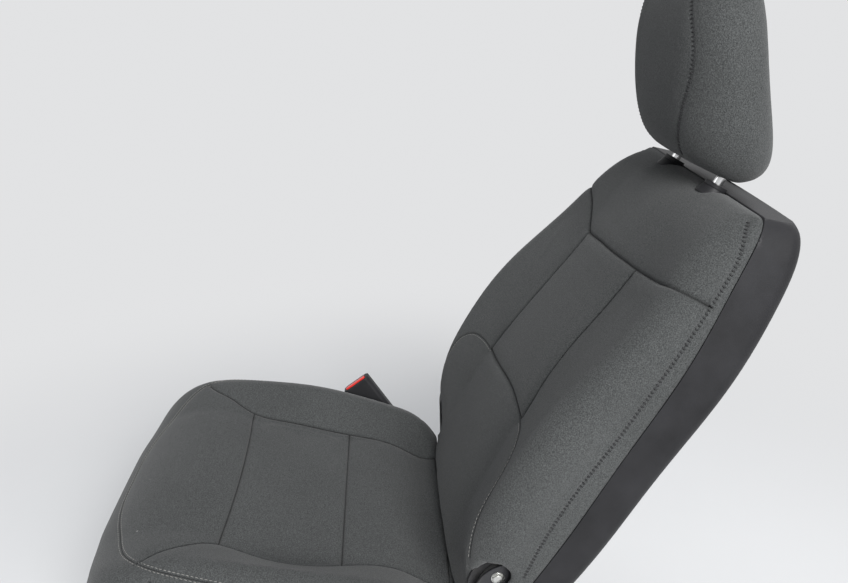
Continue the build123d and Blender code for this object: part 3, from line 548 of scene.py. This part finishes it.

# %% [markdown]
# The crease of a seam is only a few millimetres wide, finer than the pad's even faces. Dividing
# the whole pad would cost millions of faces, so only the faces near each seam are divided, twice,
# before their points are pressed in. The distance to the seam is also stored on the points, as a
# painted shade that darkens the cloth down in the fold.

# %% Press the seams in
# For each kind: how deep and how wide its fold is, how deep the soft valley round it, and how dark its
# painted shade
CREASES = {"plain": (3.0 * MM, 2.4 * MM, 1.8 * MM, 1.0), "twin": (1.3 * MM, 1.5 * MM, 0.8 * MM, 1.0),
           "single": (1.8 * MM, 1.7 * MM, 0.9 * MM, 1.0), "laced": (0.9 * MM, 2.2 * MM, 0.8 * MM, 0.15)}
VALLEY_WIDTH = 9 * MM
DIVIDED_REACH = (7 * MM, 3.8 * MM)
# How far the painted shade reaches, as a share of the fold's width
DARK_SHARE = 0.6


def crease(pad, lines):
    """Divide the faces near the seams and press each seam into the pad."""
    points = [(point, kind) for kind, places, _ in lines for point in places]
    tree = KDTree(len(points))
    for index, (point, _) in enumerate(points):
        tree.insert(point, index)
    tree.balance()
    work = bmesh.new()
    work.from_mesh(pad.data)
    for reach in DIVIDED_REACH:
        near = {v for v in work.verts if tree.find(v.co)[2] < reach}
        edges = [e for e in work.edges if e.verts[0] in near and e.verts[1] in near]
        bmesh.ops.subdivide_edges(work, edges=edges, cuts=1, use_grid_fill=True)
    bmesh.ops.triangulate(work, faces=[f for f in work.faces if len(f.verts) > 4])
    work.normal_update()
    layer = work.verts.layers.float.new("seam")
    moves = []
    for v in work.verts:
        _, index, far = tree.find(v.co)
        depth, width, valley, dark = CREASES[points[index][1]]
        # Painted shade: a darkness that falls off with the distance to the seam, stored for the knit's colour
        v[layer] = float(dark * np.exp(-(far / (DARK_SHARE * width)) ** 2))
        fold = depth * np.exp(-(far / width) ** 2)
        moves.append(v.normal * (fold + valley * np.exp(-(far / VALLEY_WIDTH) ** 2)))
    for v, move in zip(work.verts, moves):
        v.co -= move
    work.to_mesh(pad.data)
    work.free()
    pad.data.update()
    print(pad.name, "is creased along", len(points), "seam points")


print("the widest fold:", max(width for _, width, _, _ in CREASES.values()) / MM, "mm")

# %% [markdown]
# Sewing a pad puts the steps together. The cover is first drawn in a little, as a cover is before
# the foam fills it, and then swells back. Free swelling could grow past the real size or slide
# along the surface, so what comes out of the simulation is kept within a rise and a few limits.

# %% Sew a pad
HELD_REACH = 0.8
KEPT_INSET, KEPT_BELOW = 0.5 * MM, 0.3 * MM
SIDE_LIMIT, SINK_LIMIT = 3 * MM, 0.8 * MM
TINY = 1e-9


def limited(swollen, start, normals, kept, rise):
    """The swollen points, held within the rise outwards and within the limits inwards and sideways."""
    outward = ((swollen - start) * normals).sum(1)
    slide = (swollen - start) - normals * outward[:, None]
    length = np.linalg.norm(slide, axis=1, keepdims=True)
    slide *= np.minimum(1, SIDE_LIMIT / np.maximum(length, TINY))
    outward = np.clip(outward, -SINK_LIMIT, rise * (1 - kept) - KEPT_BELOW * kept)
    return start + slide + normals * outward[:, None]


def sew(node_name, name, seams, clear_of, voxel=6 * MM, shrink=4 * MM, rise=2.5 * MM, pressure=4.0):
    """A padded piece from a construction pad: held at its seams, swollen between them, then creased.
    clear_of(points) gives a share from 0 to 1: where it is 1 the pad keeps its size, clear of its neighbours.
    Returns the pad and its seam lines on the swollen cover, before the creases."""
    pad = pad_from(node_name, name, voxel)
    start = per_point(pad.data, "co")
    normals = per_point(pad.data, "normal")
    surface = surface_of(pad)
    lines = [(kind, *lay_on(surface, smooth_line(places, SEAM_STEP))) for kind, places in seams]
    tree = KDTree(sum(len(points) for _, points, _ in lines))
    for _, points, _ in lines:
        for point in points:
            tree.insert(point, 0)
    tree.balance()
    distance = np.array([tree.find(Vector(point))[2] for point in start])
    kept = clear_of(start)
    inset = (shrink * (1 - kept) + KEPT_INSET * kept)[:, None]
    set_points(pad.data, start - normals * inset)
    swollen = inflate(pad, np.flatnonzero((distance < HELD_REACH * voxel) | (kept > 0.5)), pressure)
    set_points(pad.data, limited(swollen, start, normals, kept, rise))
    refine = pad.modifiers.new("smooth_faces", "SUBSURF")
    refine.levels = refine.render_levels = 1
    keep_modifiers(pad)
    surface = surface_of(pad)
    lines = [(kind, *lay_on(surface, points, rounds=1)) for kind, points, _ in lines]
    crease(pad, lines)
    for polygon in pad.data.polygons:
        polygon.use_smooth = True
    pad.data.materials.clear()
    pad.data.materials.append(finishes["knit_fabric"])
    return pad, lines


print("cover points may slide", SIDE_LIMIT / MM, "mm and sink", SINK_LIMIT / MM, "mm")

# %% [markdown]
# Each pad has hard neighbours: the back's rounded end turns close behind the cushion, the back
# lies on its panel and recliners, and the posts run into the headrest. Cloth collision with all
# of them would be slow and would hold only in one pose. Three small functions say instead where a
# pad keeps its construction's size, so that it stays clear through every motion.

# %% Where the pads keep clear of their neighbours
# The posts' place in the back's own frame, in millimetres; then, in metres, the frame's sloping top
# under the cushion, and how far along the back the posts begin and the headrest's underside ends
POST_X, POST_AHEAD = 70, 8
FRAME_HEIGHT, FRAME_SLOPE, FRAME_FROM = 0.2155, 0.099, 0.138
POSTS_FROM, HEADREST_FOOT = 0.45, 0.605


def closeness(distance, room, fade):
    """0 where the distance is the room, and 1 a fade nearer."""
    return (room - distance) / fade


def in_back_frame(points):
    """Each point's distance from the recline axis, and its place along the back and ahead of it."""
    shifted = points - np.array(RECLINE_PLACE)
    along = shifted[:, 1] * sin(RECLINE_ANGLE) + shifted[:, 2] * cos(RECLINE_ANGLE)
    ahead = shifted[:, 2] * sin(RECLINE_ANGLE) - shifted[:, 1] * cos(RECLINE_ANGLE)
    return np.linalg.norm(shifted[:, 1:], axis=1), along, ahead


def from_posts(points, ahead):
    """The distance to the centre line of the nearer headrest post."""
    return np.hypot(np.abs(points[:, 0]) - POST_X * MM, ahead - POST_AHEAD * MM)


def near_back_and_frame(points):
    """1 where the cushion faces the back's rounded end or rests on the frame."""
    to_axis, _, _ = in_back_frame(points)
    frame_top = FRAME_HEIGHT + FRAME_SLOPE * (FRAME_FROM - points[:, 1])
    behind = closeness(to_axis, room=0.100, fade=0.012)
    below = closeness(points[:, 2], room=frame_top + 0.014, fade=0.008)
    return np.clip(np.maximum(behind, below), 0, 1)


def near_frame(points):
    """1 where the back touches the hard panel, the recliners and the posts, or turns past the cushion."""
    to_axis, along, ahead = in_back_frame(points)
    behind = closeness(ahead, room=0.006, fade=0.006)
    posts = closeness(from_posts(points, ahead), room=0.030, fade=0.008) * (along > POSTS_FROM)
    low = np.maximum(closeness(to_axis, room=0.090, fade=0.010), closeness(along, room=0.0, fade=0.02))
    return np.clip(np.maximum(np.maximum(behind, posts), low), 0, 1)


def near_posts(points):
    """1 where the headrest meets its posts."""
    _, along, ahead = in_back_frame(points)
    near = np.clip(closeness(from_posts(points, ahead), room=0.016, fade=0.006), 0, 1)
    return near * (along < HEADREST_FOOT)


recline_axis = np.array([RECLINE_PLACE])
print("at the recline axis the back keeps its size:", bool(near_frame(recline_axis)[0] == 1))

# %% Cushion, back and headrest
cushion, cushion_lines = sew("cushion", "cushion_cover", cushion_seams, near_back_and_frame)
back, back_lines = sew("backrest", "back_cover", back_seams, near_frame)
head, head_lines = sew("headrest", "headrest_cover", head_seams, near_posts, voxel=5 * MM, shrink=3 * MM)
for pad, node_name, body, fill in ((cushion, "cushion", "seat", 0.9), (back, "backrest", "backrest", 0.9),
                                   (head, "headrest", "headrest", 0.95)):
    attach(pad, body)
    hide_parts(node_name)
    print(pad.name, len(pad.data.polygons), "faces")

# %% [markdown]
# Thread holds the cloths together and shows as rows of short stitches. Drawn one by one they
# would take hundreds of objects; a dashed picture would be flat. One small stitch is drawn
# instead, and Geometry Nodes lay it at an even pitch along each row, turned along the row and
# flat on the cloth.


# %% A tree that lays stitches
def named_inputs(tree, rows):
    """Add inputs to a geometry tree. Returns each one's identifier under its name."""
    identifiers = {}
    for label, kind, value in rows:
        made = tree.interface.new_socket(label, in_out="INPUT", socket_type=kind)
        if value is not None:
            made.default_value = value
        identifiers[label] = made.identifier
    return identifiers


def stitch_turn(tree, given):
    """The turn of each stitch: along its row and flat on the cloth, then its own turn, a little uneven."""
    along = add_node(tree, "GeometryNodeInputTangent")
    out = add_node(tree, "GeometryNodeInputNamedAttribute", {"data_type": "FLOAT_VECTOR"}, Name="out")
    first = add_node(tree, "FunctionNodeAlignEulerToVector", {"axis": "X"}, Vector=along.outputs["Tangent"])
    second = add_node(tree, "FunctionNodeAlignEulerToVector", {"axis": "Z", "pivot_axis": "X"},
                      Rotation=first.outputs["Rotation"], Vector=out.outputs["Attribute"])
    low = add_node(tree, "ShaderNodeMath", {"operation": "MULTIPLY"}, i0=given.outputs["Unevenness"],
                   i1=-1.0)
    uneven = add_node(tree, "FunctionNodeRandomValue", {"data_type": "FLOAT"}, i2=low.outputs[0],
                      i3=given.outputs["Unevenness"], Seed=given.outputs["Seed"])
    turn = add_node(tree, "ShaderNodeMath", {"operation": "ADD"}, i0=given.outputs["Turn"],
                    i1=uneven.outputs[1])
    spin = add_node(tree, "ShaderNodeCombineXYZ", None, Z=turn.outputs[0])
    return add_node(tree, "FunctionNodeRotateEuler", {"space": "LOCAL"},
                    Rotation=second.outputs["Rotation"], Rotate_By=spin.outputs["Vector"])


def stitch_group():
    """Lays one stitch at an even pitch along a line. Returns the tree and its inputs' identifiers."""
    tree = bpy.data.node_groups.new("stitches", "GeometryNodeTree")
    identifiers = named_inputs(tree, [
        ("Geometry", "NodeSocketGeometry", None), ("Pitch", "NodeSocketFloat", 0.0065),
        ("Length", "NodeSocketFloat", 0.0048), ("Thickness", "NodeSocketFloat", 0.0006),
        ("Turn", "NodeSocketFloat", 0.0), ("Unevenness", "NodeSocketFloat", 0.12),
        ("Seed", "NodeSocketInt", 7), ("Thread", "NodeSocketMaterial", None)])
    tree.interface.new_socket("Geometry", in_out="OUTPUT", socket_type="NodeSocketGeometry")
    given, result = tree.nodes.new("NodeGroupInput"), tree.nodes.new("NodeGroupOutput")
    curve = add_node(tree, "GeometryNodeMeshToCurve", None, Mesh=given.outputs["Geometry"])
    even = add_node(tree, "GeometryNodeResampleCurve", {"mode": "LENGTH"}, Curve=curve.outputs["Curve"],
                    Length=given.outputs["Pitch"])
    ball = add_node(tree, "GeometryNodeMeshUVSphere", None, Segments=8, Rings=5, Radius=0.5)
    size = add_node(tree, "ShaderNodeCombineXYZ", None, X=given.outputs["Length"],
                    Y=given.outputs["Thickness"], Z=given.outputs["Thickness"])
    laid = add_node(tree, "GeometryNodeInstanceOnPoints", None, Points=even.outputs["Curve"],
                    Instance=ball.outputs["Mesh"], Scale=size.outputs["Vector"],
                    Rotation=stitch_turn(tree, given).outputs["Rotation"])
    real = add_node(tree, "GeometryNodeRealizeInstances", None, Geometry=laid.outputs["Instances"])
    soft = add_node(tree, "GeometryNodeSetShadeSmooth", None, Geometry=real.outputs["Geometry"])
    painted = add_node(tree, "GeometryNodeSetMaterial", None, Geometry=soft.outputs["Geometry"],
                       Material=given.outputs["Thread"])
    tree.links.new(painted.outputs["Geometry"], result.inputs["Geometry"])
    return tree, identifiers


stitches, stitch_inputs = stitch_group()
print("stitch tree:", len(stitches.nodes), "nodes, inputs", ", ".join(stitch_inputs))


# %% Rows of stitches and lines of shadow
def line_piece(name, rows):
    """A mesh of plain lines, each with the outward direction stored at its points."""
    mesh = bpy.data.meshes.new(name)
    verts, edges, outs = [], [], []
    for points, normals in rows:
        first = len(verts)
        verts += points
        outs += normals
        edges += [(first + k, first + k + 1) for k in range(len(points) - 1)]
    mesh.from_pydata(verts, edges, [])
    attribute = mesh.attributes.new("out", "FLOAT_VECTOR", "POINT")
    attribute.data.foreach_set("vector", np.array([tuple(n) for n in outs], float).ravel())
    return placed(name, mesh)


def stitched(name, rows, body, **sizes):
    """Rows of stitches as one piece that rides on a body. The sizes go to the tree's inputs."""
    piece = line_piece(name, rows)
    layer = piece.modifiers.new("stitches", "NODES")
    layer.node_group = stitches
    for label, value in sizes.items():
        layer[stitch_inputs[label]] = value
    keep_modifiers(piece)
    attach(piece, body)
    print(name, len(piece.data.polygons), "faces")


def tube_along(name, rows, radius, material, body):
    """A thin round line along each row."""
    data = bpy.data.curves.new(name, "CURVE")
    data.dimensions = "3D"
    data.bevel_depth = radius
    data.bevel_resolution = 1
    for points in rows:
        spline = data.splines.new("POLY")
        spline.points.add(len(points) - 1)
        for target, point in zip(spline.points, points):
            target.co = (*point, 1)
    data.use_fill_caps = True
    holder = placed(name, data)
    mesh = bpy.data.meshes.new_from_object(evaluated(holder))
    bpy.data.objects.remove(holder)
    piece = placed(name, mesh)
    piece.data.materials.clear()
    piece.data.materials.append(material)
    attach(piece, body)
    print(name, len(mesh.polygons), "faces")
    return piece


print("rows to be sewn:", len(cushion_lines + back_lines + head_lines))

# %% [markdown]
# The rows follow the seam lines. Light stitches lie a little beside their seam, so their rows are
# moved over the cloth; laces stay on it. Each row could be laid on the nearest face, but in a fold
# that is often its side, so it is let down along the normals instead. A dark line in the bottom of
# every fold but the laced ones is painted shade: it stands for the gap between the two cloths,
# which lies in shadow.

# %% Thread on the covers
ROW_GAP = 2.6 * MM
DROP_REACH = 12 * MM
FOLD_RADIUS, FOLD_SUNK = 0.45 * MM, 0.1 * MM
STITCH_LIFT, LACE_LIFT = 0.15 * MM, 0.6 * MM
TOPSTITCH = {"Pitch": 5.5 * MM, "Length": 4.3 * MM, "Thickness": 0.75 * MM, "Turn": 0.0,
             "Thread": finishes["grey_thread"]}
LACE = {"Pitch": 4.8 * MM, "Length": 5.0 * MM, "Thickness": 2.0 * MM, "Turn": radians(80),
        "Thread": finishes["black_thread"]}


def dropped(surface, points, normals, lift):
    """A row let down along its normals onto the creased cover, then raised off it."""
    landed = []
    for point, normal in zip(points, normals):
        hit = surface.ray_cast(point + normal * DROP_REACH, -normal, 2 * DROP_REACH)[0]
        landed.append((hit if hit else surface.find_nearest(point)[0]) + normal * lift)
    return evened(landed, rounds=3), normals


def sideways(points, normals, offset):
    """A row moved sideways over the cover by an offset."""
    moved = []
    for k, (point, normal) in enumerate(zip(points, normals)):
        ahead = points[min(k + 1, len(points) - 1)] - points[max(k - 1, 0)]
        moved.append(point + normal.cross(ahead).normalized() * offset)
    return evened(moved, rounds=8)


def inner_side(points, normals):
    """1 or -1: which side of a row lies nearer the seat's centre plane."""
    k = len(points) // 2
    return -1 if normals[k].cross(points[k + 1] - points[k]).x * points[k].x > 0 else 1


for pad, lines, body, prefix in ((cushion, cushion_lines, "seat", "cushion"),
                                 (back, back_lines, "backrest", "back"),
                                 (head, head_lines, "headrest", "headrest")):
    surface = surface_of(pad)
    folds, topstitches, laces = [], [], []
    for kind, points, normals in lines:
        if kind == "laced":
            laces.append(dropped(surface, points, normals, LACE_LIFT))
            continue
        folds.append(dropped(surface, points, normals, -FOLD_SUNK)[0])
        for side in {"twin": (-1, 1), "single": (inner_side(points, normals),), "plain": ()}[kind]:
            row = sideways(points, normals, side * ROW_GAP)
            topstitches.append(dropped(surface, row, normals, STITCH_LIFT))
    # Painted shade: a thin near-black line down in each fold
    if folds:
        tube_along(prefix + "_fold_shade_lines", folds, FOLD_RADIUS, finishes["seam_shadow"], body)
    if topstitches:
        stitched(prefix + "_stitches", topstitches, body, **TOPSTITCH)
    if laces:
        stitched(prefix + "_laced_stitches", laces, body, **LACE)
    print(prefix, "rows:", len(folds), "folds,", len(topstitches), "of stitches,", len(laces), "of laces")

# %% [markdown]
# The cushion lies on zigzag springs of round wire with rounded bends. The construction holds them
# as flat ribbons. Bevelling those would leave them flat on two sides, so round wire is drawn
# along the ribbons' centre lines, with the same run and the same bends.

# %% Cushion springs in round wire
SPRING_COUNT, SPRING_BENDS = 4, 5
SPRING_PITCH, SPRING_SPREAD, SPRING_WIRE = 86 * MM, 24 * MM, 4 * MM
SPRING_POINTS = 120
BEND_FULLNESS, HALF_BEND = 1.7, 0.5


def spring_line(centre, low, high):
    """One zigzag from the front pan to the rear bar, with bends that grow from nothing at both ends."""
    run = high.y - low.y
    fall = high.z - low.z - SPRING_WIRE
    line = []
    for step in range(SPRING_POINTS + 1):
        t = step / SPRING_POINTS * (SPRING_BENDS + 1)
        inside = min(1.0, t / HALF_BEND, (SPRING_BENDS + 1 - t) / HALF_BEND)
        swing = max(-1.0, min(1.0, BEND_FULLNESS * sin(pi * (t - HALF_BEND))))
        x = centre + SPRING_SPREAD / 2 * swing * inside
        y = low.y + t * (run / (SPRING_BENDS + 1))
        z = high.z - SPRING_WIRE / 2 - fall * (y - low.y) / run
        line.append(Vector((x, y, z)))
    return line


spring_low, spring_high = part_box("cushion_springs")
centres = [(k - (SPRING_COUNT - 1) / 2) * SPRING_PITCH for k in range(SPRING_COUNT)]
wires = tube_along("spring_wires", [spring_line(x, spring_low, spring_high) for x in centres],
                   SPRING_WIRE / 2, finishes["zinc_steel"], "seat")
for polygon in wires.data.polygons:
    polygon.use_smooth = True
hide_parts("cushion_springs")
print("springs:", SPRING_COUNT, "with", SPRING_BENDS, "bends each")

# %% [markdown]
# The hard panel behind the back is moulded with a soft round along its top edge, and the
# construction holds it with a sharp one. A Bevel modifier would also eat the lower edges of its
# thin walls. So the panel is divided finely near its top, and the points there are drawn inwards
# onto an arc, inner and outer wall alike.

# %% Back panel with a rounded top
PANEL_ROUND, PANEL_STEP = 12 * MM, 6 * MM
PANEL_ROUNDS = 8
SHARP_EDGE = radians(35)


def smooth_but_sharp(mesh):
    """Shade a mesh smooth, with its sharp edges kept."""
    for polygon in mesh.polygons:
        polygon.use_smooth = True
    mesh.set_sharp_from_angle(angle=SHARP_EDGE)


def rounded_panel():
    """The back's hard panel, its top edges rounded."""
    work = bmesh.new()
    work.from_mesh(nodes["back_panel"].data)
    bmesh.ops.remove_doubles(work, verts=work.verts, dist=MERGE)
    up = Vector((0, sin(RECLINE_ANGLE), cos(RECLINE_ANGLE)))
    top = max((v.co - RECLINE_PLACE).dot(up) for v in work.verts)
    bend = RECLINE_PLACE + up * (top - PANEL_ROUND)
    for _ in range(PANEL_ROUNDS):
        near = {v for v in work.verts if (v.co - bend).dot(up) > -2 * PANEL_ROUND}
        edges = [e for e in work.edges if e.verts[0] in near or e.verts[1] in near]
        long = [e for e in edges if e.calc_length() > PANEL_STEP]
        if not long:
            break
        bmesh.ops.subdivide_edges(work, edges=long, cuts=1)
        bmesh.ops.triangulate(work, faces=[f for f in work.faces if len(f.verts) > 4])
    for v in work.verts:
        above = (v.co - bend).dot(up)
        if above > 0:
            lean = min(1.0, above / PANEL_ROUND)
            drawn_in = PANEL_ROUND * (1 - (1 - lean * lean) ** 0.5)
            flat = (v.co - bend) - up * above
            v.co -= flat.normalized() * min(drawn_in, 0.5 * flat.length)
    mesh = bpy.data.meshes.new("rounded_back_panel")
    work.normal_update()
    work.to_mesh(mesh)
    work.free()
    piece = placed("rounded_back_panel", mesh)
    smooth_but_sharp(mesh)
    mesh.materials.append(finishes["black_plastic"])
    return piece


panel = rounded_panel()
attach(panel, "backrest")
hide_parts("back_panel")
print(panel.name, len(panel.data.polygons), "faces")

# %% [markdown]
# Screws, bolts and rivets are too small for the construction, yet they show where the seat is held:
# flange bolts at the floor and the buckle, bolts round the recliner in the arched notch, rivets
# along the risers, and flat trim screws in the shields. Threads and drives could be cut in full,
# but from a metre away only the heads' outlines count. So each kind is a few stacked discs with
# round or six-sided rims, set on a place with the direction that it faces.


# %% Heads of bolts, rivets and screws
def standing(place, facing):
    """The matrix that stands a head on a place in millimetres, its top towards a direction."""
    turn = Vector(facing).to_track_quat("Z", "Y").to_matrix().to_4x4()
    return Matrix.Translation(Vector(place) * MM) @ turn


def disc(work, place, facing, radius, height, top_radius=None, sides=28):
    """A round or many-sided disc that stands on a place."""
    stand = standing(place, facing) @ Matrix.Translation((0, 0, height * MM / 2))
    bmesh.ops.create_cone(work, cap_ends=True, segments=sides, depth=height * MM, radius1=radius * MM,
                          radius2=(top_radius or radius) * MM, matrix=stand)


def flange_bolt(work, place, facing, flat=15.0, height=6.0, flange=1.6, crown=0.8):
    """A hexagon head on its round flange, with a turned crown."""
    corner = flat / 2 / cos(radians(30))
    above = Vector(place) + Vector(facing) * flange
    hexagon = height - flange - crown
    disc(work, place, facing, flat * 0.72, flange, flat * 0.68)
    disc(work, above, facing, corner, hexagon, sides=6)
    disc(work, above + Vector(facing) * hexagon, facing, corner * 0.96, crown, flat / 2 * 0.86, 24)


def small_flange_bolt(work, place, facing):
    """A lower and smaller flange bolt, for the recliner."""
    flange_bolt(work, place, facing, 12.0, 4.4, 1.0)


def rivet(work, place, facing, radius=4.0, height=1.6):
    """A low domed head in three steps."""
    place, facing = Vector(place), Vector(facing)
    for share, low, high in ((1.0, 0.0, 0.45), (0.86, 0.45, 0.8), (0.55, 0.8, 1.0)):
        disc(work, place + facing * height * low, facing, radius * share, height * (high - low),
             radius * share * 0.88)


def trim_screw(work, place, facing, radius=5.0, height=0.9, boss=0.5):
    """A flat round head with a small six-sided boss in its middle."""
    place, facing = Vector(place), Vector(facing)
    disc(work, place, facing, radius, height, radius * 0.93)
    disc(work, place + facing * height, facing, radius * 0.42, boss, radius * 0.3, 6)


HEADS = (flange_bolt, small_flange_bolt, rivet, trim_screw)
print("kinds of heads:", ", ".join(kind.__name__ for kind in HEADS))

# %% Collars, and heads joined in one piece
COLLAR_PROFILE = ((10, -12), (18, -12), (17.6, -10), (14.3, -0.3), (10, -0.3))


def collar(work, place, facing, sides=36):
    """A ring turned from a profile of radius and height, round a place."""
    stand = standing(place, facing)
    rings = []
    for k in range(sides):
        angle = 2 * pi * k / sides
        rings.append([work.verts.new(stand @ (Vector((r * cos(angle), r * sin(angle), h)) * MM))
                      for r, h in COLLAR_PROFILE])
    for k, ring in enumerate(rings):
        after = rings[(k + 1) % sides]
        for j in range(len(ring)):
            m = (j + 1) % len(ring)
            work.faces.new((ring[j], after[j], after[m], ring[m]))


def hardware(name, body, slot, heads):
    """Heads of one finish on one body, as one piece."""
    work = bmesh.new()
    for kind, place, facing in heads:
        kind(work, place, facing)
    bmesh.ops.recalc_face_normals(work, faces=work.faces)
    mesh = bpy.data.meshes.new(name)
    work.to_mesh(mesh)
    work.free()
    smooth_but_sharp(mesh)
    mesh.materials.append(finishes[slot])
    piece = placed(name, mesh)
    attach(piece, body)
    print(name, len(heads), "heads")


print("a collar is", 2 * max(radius for radius, _ in COLLAR_PROFILE), "mm wide")

# %% Bolts, rivets, screws and collars in their places
UP, OUT, IN = (0, 0, 1), (1, 0, 0), (-1, 0, 0)
BOLT_X, BOLT_Y, FOOT_TOP = 205, 280, 4
RISER_FACE, RIVET_HEIGHT, RIVET_PLACES = 212, 71.5, (-90, -30, 30, 90)
PLATE_FACE, RECLINE_Y, RECLINE_Z = 224, 200, 325
RECLINER_BOLT_R, RECLINER_BOLT_TURNS = 33, [radians(125 + 120 * k) for k in range(3)]
BUCKLE_BOLT = (-262, 118, 172)
SHIELD_SCREWS = [(266.3, -222, 214), (266.3, 222, 196), (281.6, 160, 205)]
SLEEVE_FOOT = 523
back_up = (0, sin(RECLINE_ANGLE), cos(RECLINE_ANGLE))

hardware("floor_bolts", "base", "zinc_steel",
         [(flange_bolt, (x, y, FOOT_TOP), UP) for x in (BOLT_X, -BOLT_X) for y in (BOLT_Y, -BOLT_Y)])
hardware("riser_rivets", "carriage", "zinc_steel",
         [(rivet, (side * RISER_FACE, y, RIVET_HEIGHT), facing)
          for side, facing in ((1, OUT), (-1, IN)) for y in RIVET_PLACES])
hardware("recliner_bolts", "seat", "zinc_steel",
         [(small_flange_bolt, (PLATE_FACE, RECLINE_Y + RECLINER_BOLT_R * cos(turn),
                               RECLINE_Z + RECLINER_BOLT_R * sin(turn)), OUT)
          for turn in RECLINER_BOLT_TURNS])
hardware("buckle_anchor_bolt", "seat", "zinc_steel", [(flange_bolt, BUCKLE_BOLT, IN)])
hardware("trim_screws", "seat", "black_plastic", [(trim_screw, place, OUT) for place in SHIELD_SCREWS])
hardware("sleeve_collars", "backrest", "black_plastic",
         [(collar, on_back(x, SLEEVE_FOOT, POST_AHEAD) / MM, back_up) for x in (POST_X, -POST_X)])
print("recliner bolts:", len(RECLINER_BOLT_TURNS), "on a circle of", 2 * RECLINER_BOLT_R, "mm")

# %% [markdown]
# The studio lights the seat plainly, so that it looks right in other light too: a large soft key
# from the occupant's left, a little from behind, a weak fill from the front and a weak lamp
# behind. A picture of a sky would be an easy light, but it would tint the cloth.


# %% Lamps
def area_light(name, place, target, size, power):
    """A soft square lamp that faces a target."""
    data = bpy.data.lights.new(name, "AREA")
    data.size = size
    data.energy = power
    lamp = placed(name, data)
    lamp.location = place
    lamp.rotation_euler = (Vector(target) - Vector(place)).to_track_quat("-Z", "Y").to_euler()
    print(name, power, "W")


SEAT_MIDDLE = (0.0, 0.1, 0.5)
LAMP_SIZE = 1.8
area_light("key_lamp", (3.0, 0.8, 2.4), SEAT_MIDDLE, LAMP_SIZE, 245)
area_light("front_lamp", (-1.2, -2.8, 2.6), SEAT_MIDDLE, LAMP_SIZE, 20)
area_light("back_lamp", (-1.6, 2.2, 2.9), SEAT_MIDDLE, LAMP_SIZE, 26)

# %% [markdown]
# The background is pale, but a world that bright would light the seat too much. So its colour is
# set for rays from the camera, also by way of metal or glass, and all other rays get a darker
# grey. The floor holds the shadow near the seat and goes over into the same pale colour further
# out, so that no horizon shows.

# %% World and floor
BACKGROUND = (0.76, 0.765, 0.775, 1)
AMBIENT = (0.34, 0.35, 0.37, 1)
FLOOR_COLOR, FLOOR_WORN = (0.62, 0.625, 0.63, 1), (0.605, 0.61, 0.615, 1)
FLOOR_SIZE, FLOOR_NEAR, FLOOR_FAR = 30, 0.5, 1.7


def straight_rays(tree):
    """1 for rays from the camera, also by way of a mirror or glass."""
    path = add_node(tree, "ShaderNodeLightPath")
    seen = add_node(tree, "ShaderNodeMath", {"operation": "ADD"}, i0=path.outputs["Is Camera Ray"],
                    i1=path.outputs["Is Glossy Ray"])
    seen_all = add_node(tree, "ShaderNodeMath", {"operation": "ADD", "use_clamp": True},
                        i0=seen.outputs[0], i1=path.outputs["Is Transmission Ray"])
    return seen_all.outputs[0]


def floor_material():
    """A pale matt floor that fades into the background away from the seat."""
    made, tree, shader = new_material("pale_floor")
    spot = add_node(tree, "ShaderNodeTexCoord")
    far = add_node(tree, "ShaderNodeVectorMath", {"operation": "LENGTH"}, i0=spot.outputs["Object"])
    away = add_node(tree, "ShaderNodeMapRange", {"interpolation_type": "SMOOTHERSTEP"},
                    Value=far.outputs["Value"], From_Min=FLOOR_NEAR, From_Max=FLOOR_FAR)
    worn = place_group(tree, wear, Color=FLOOR_COLOR, Worn_color=FLOOR_WORN, Roughness=0.8, Spread=0.1,
                       Patches_per_metre=2.0)
    tree.links.new(worn.outputs["Color"], shader.inputs["Base Color"])
    tree.links.new(worn.outputs["Roughness"], shader.inputs["Roughness"])
    shader.inputs["Specular IOR Level"].default_value = 0.2
    plain = add_node(tree, "ShaderNodeEmission", None, Color=BACKGROUND)
    share = add_node(tree, "ShaderNodeMath", {"operation": "MULTIPLY"}, i0=straight_rays(tree),
                     i1=away.outputs["Result"])
    both = add_node(tree, "ShaderNodeMixShader", None, i0=share.outputs[0],
                    i1=shader.outputs["BSDF"], i2=plain.outputs["Emission"])
    tree.links.new(both.outputs["Shader"], tree.nodes["Material Output"].inputs["Surface"])
    return made


world = bpy.data.worlds.new("studio")
world.use_nodes = True
sky = world.node_tree
shown = add_node(sky, "ShaderNodeMix", {"data_type": "RGBA"}, i0=straight_rays(sky), i6=AMBIENT,
                 i7=BACKGROUND)
sky.links.new(shown.outputs[2], sky.nodes["Background"].inputs["Color"])
bpy.context.scene.world = world

bpy.ops.mesh.primitive_plane_add(size=FLOOR_SIZE, location=(0, 0, 0))
floor = bpy.context.object
floor.name = "floor"
floor.data.materials.append(floor_material())
print("floor:", FLOOR_SIZE, "m wide, plain from", FLOOR_FAR, "m on")
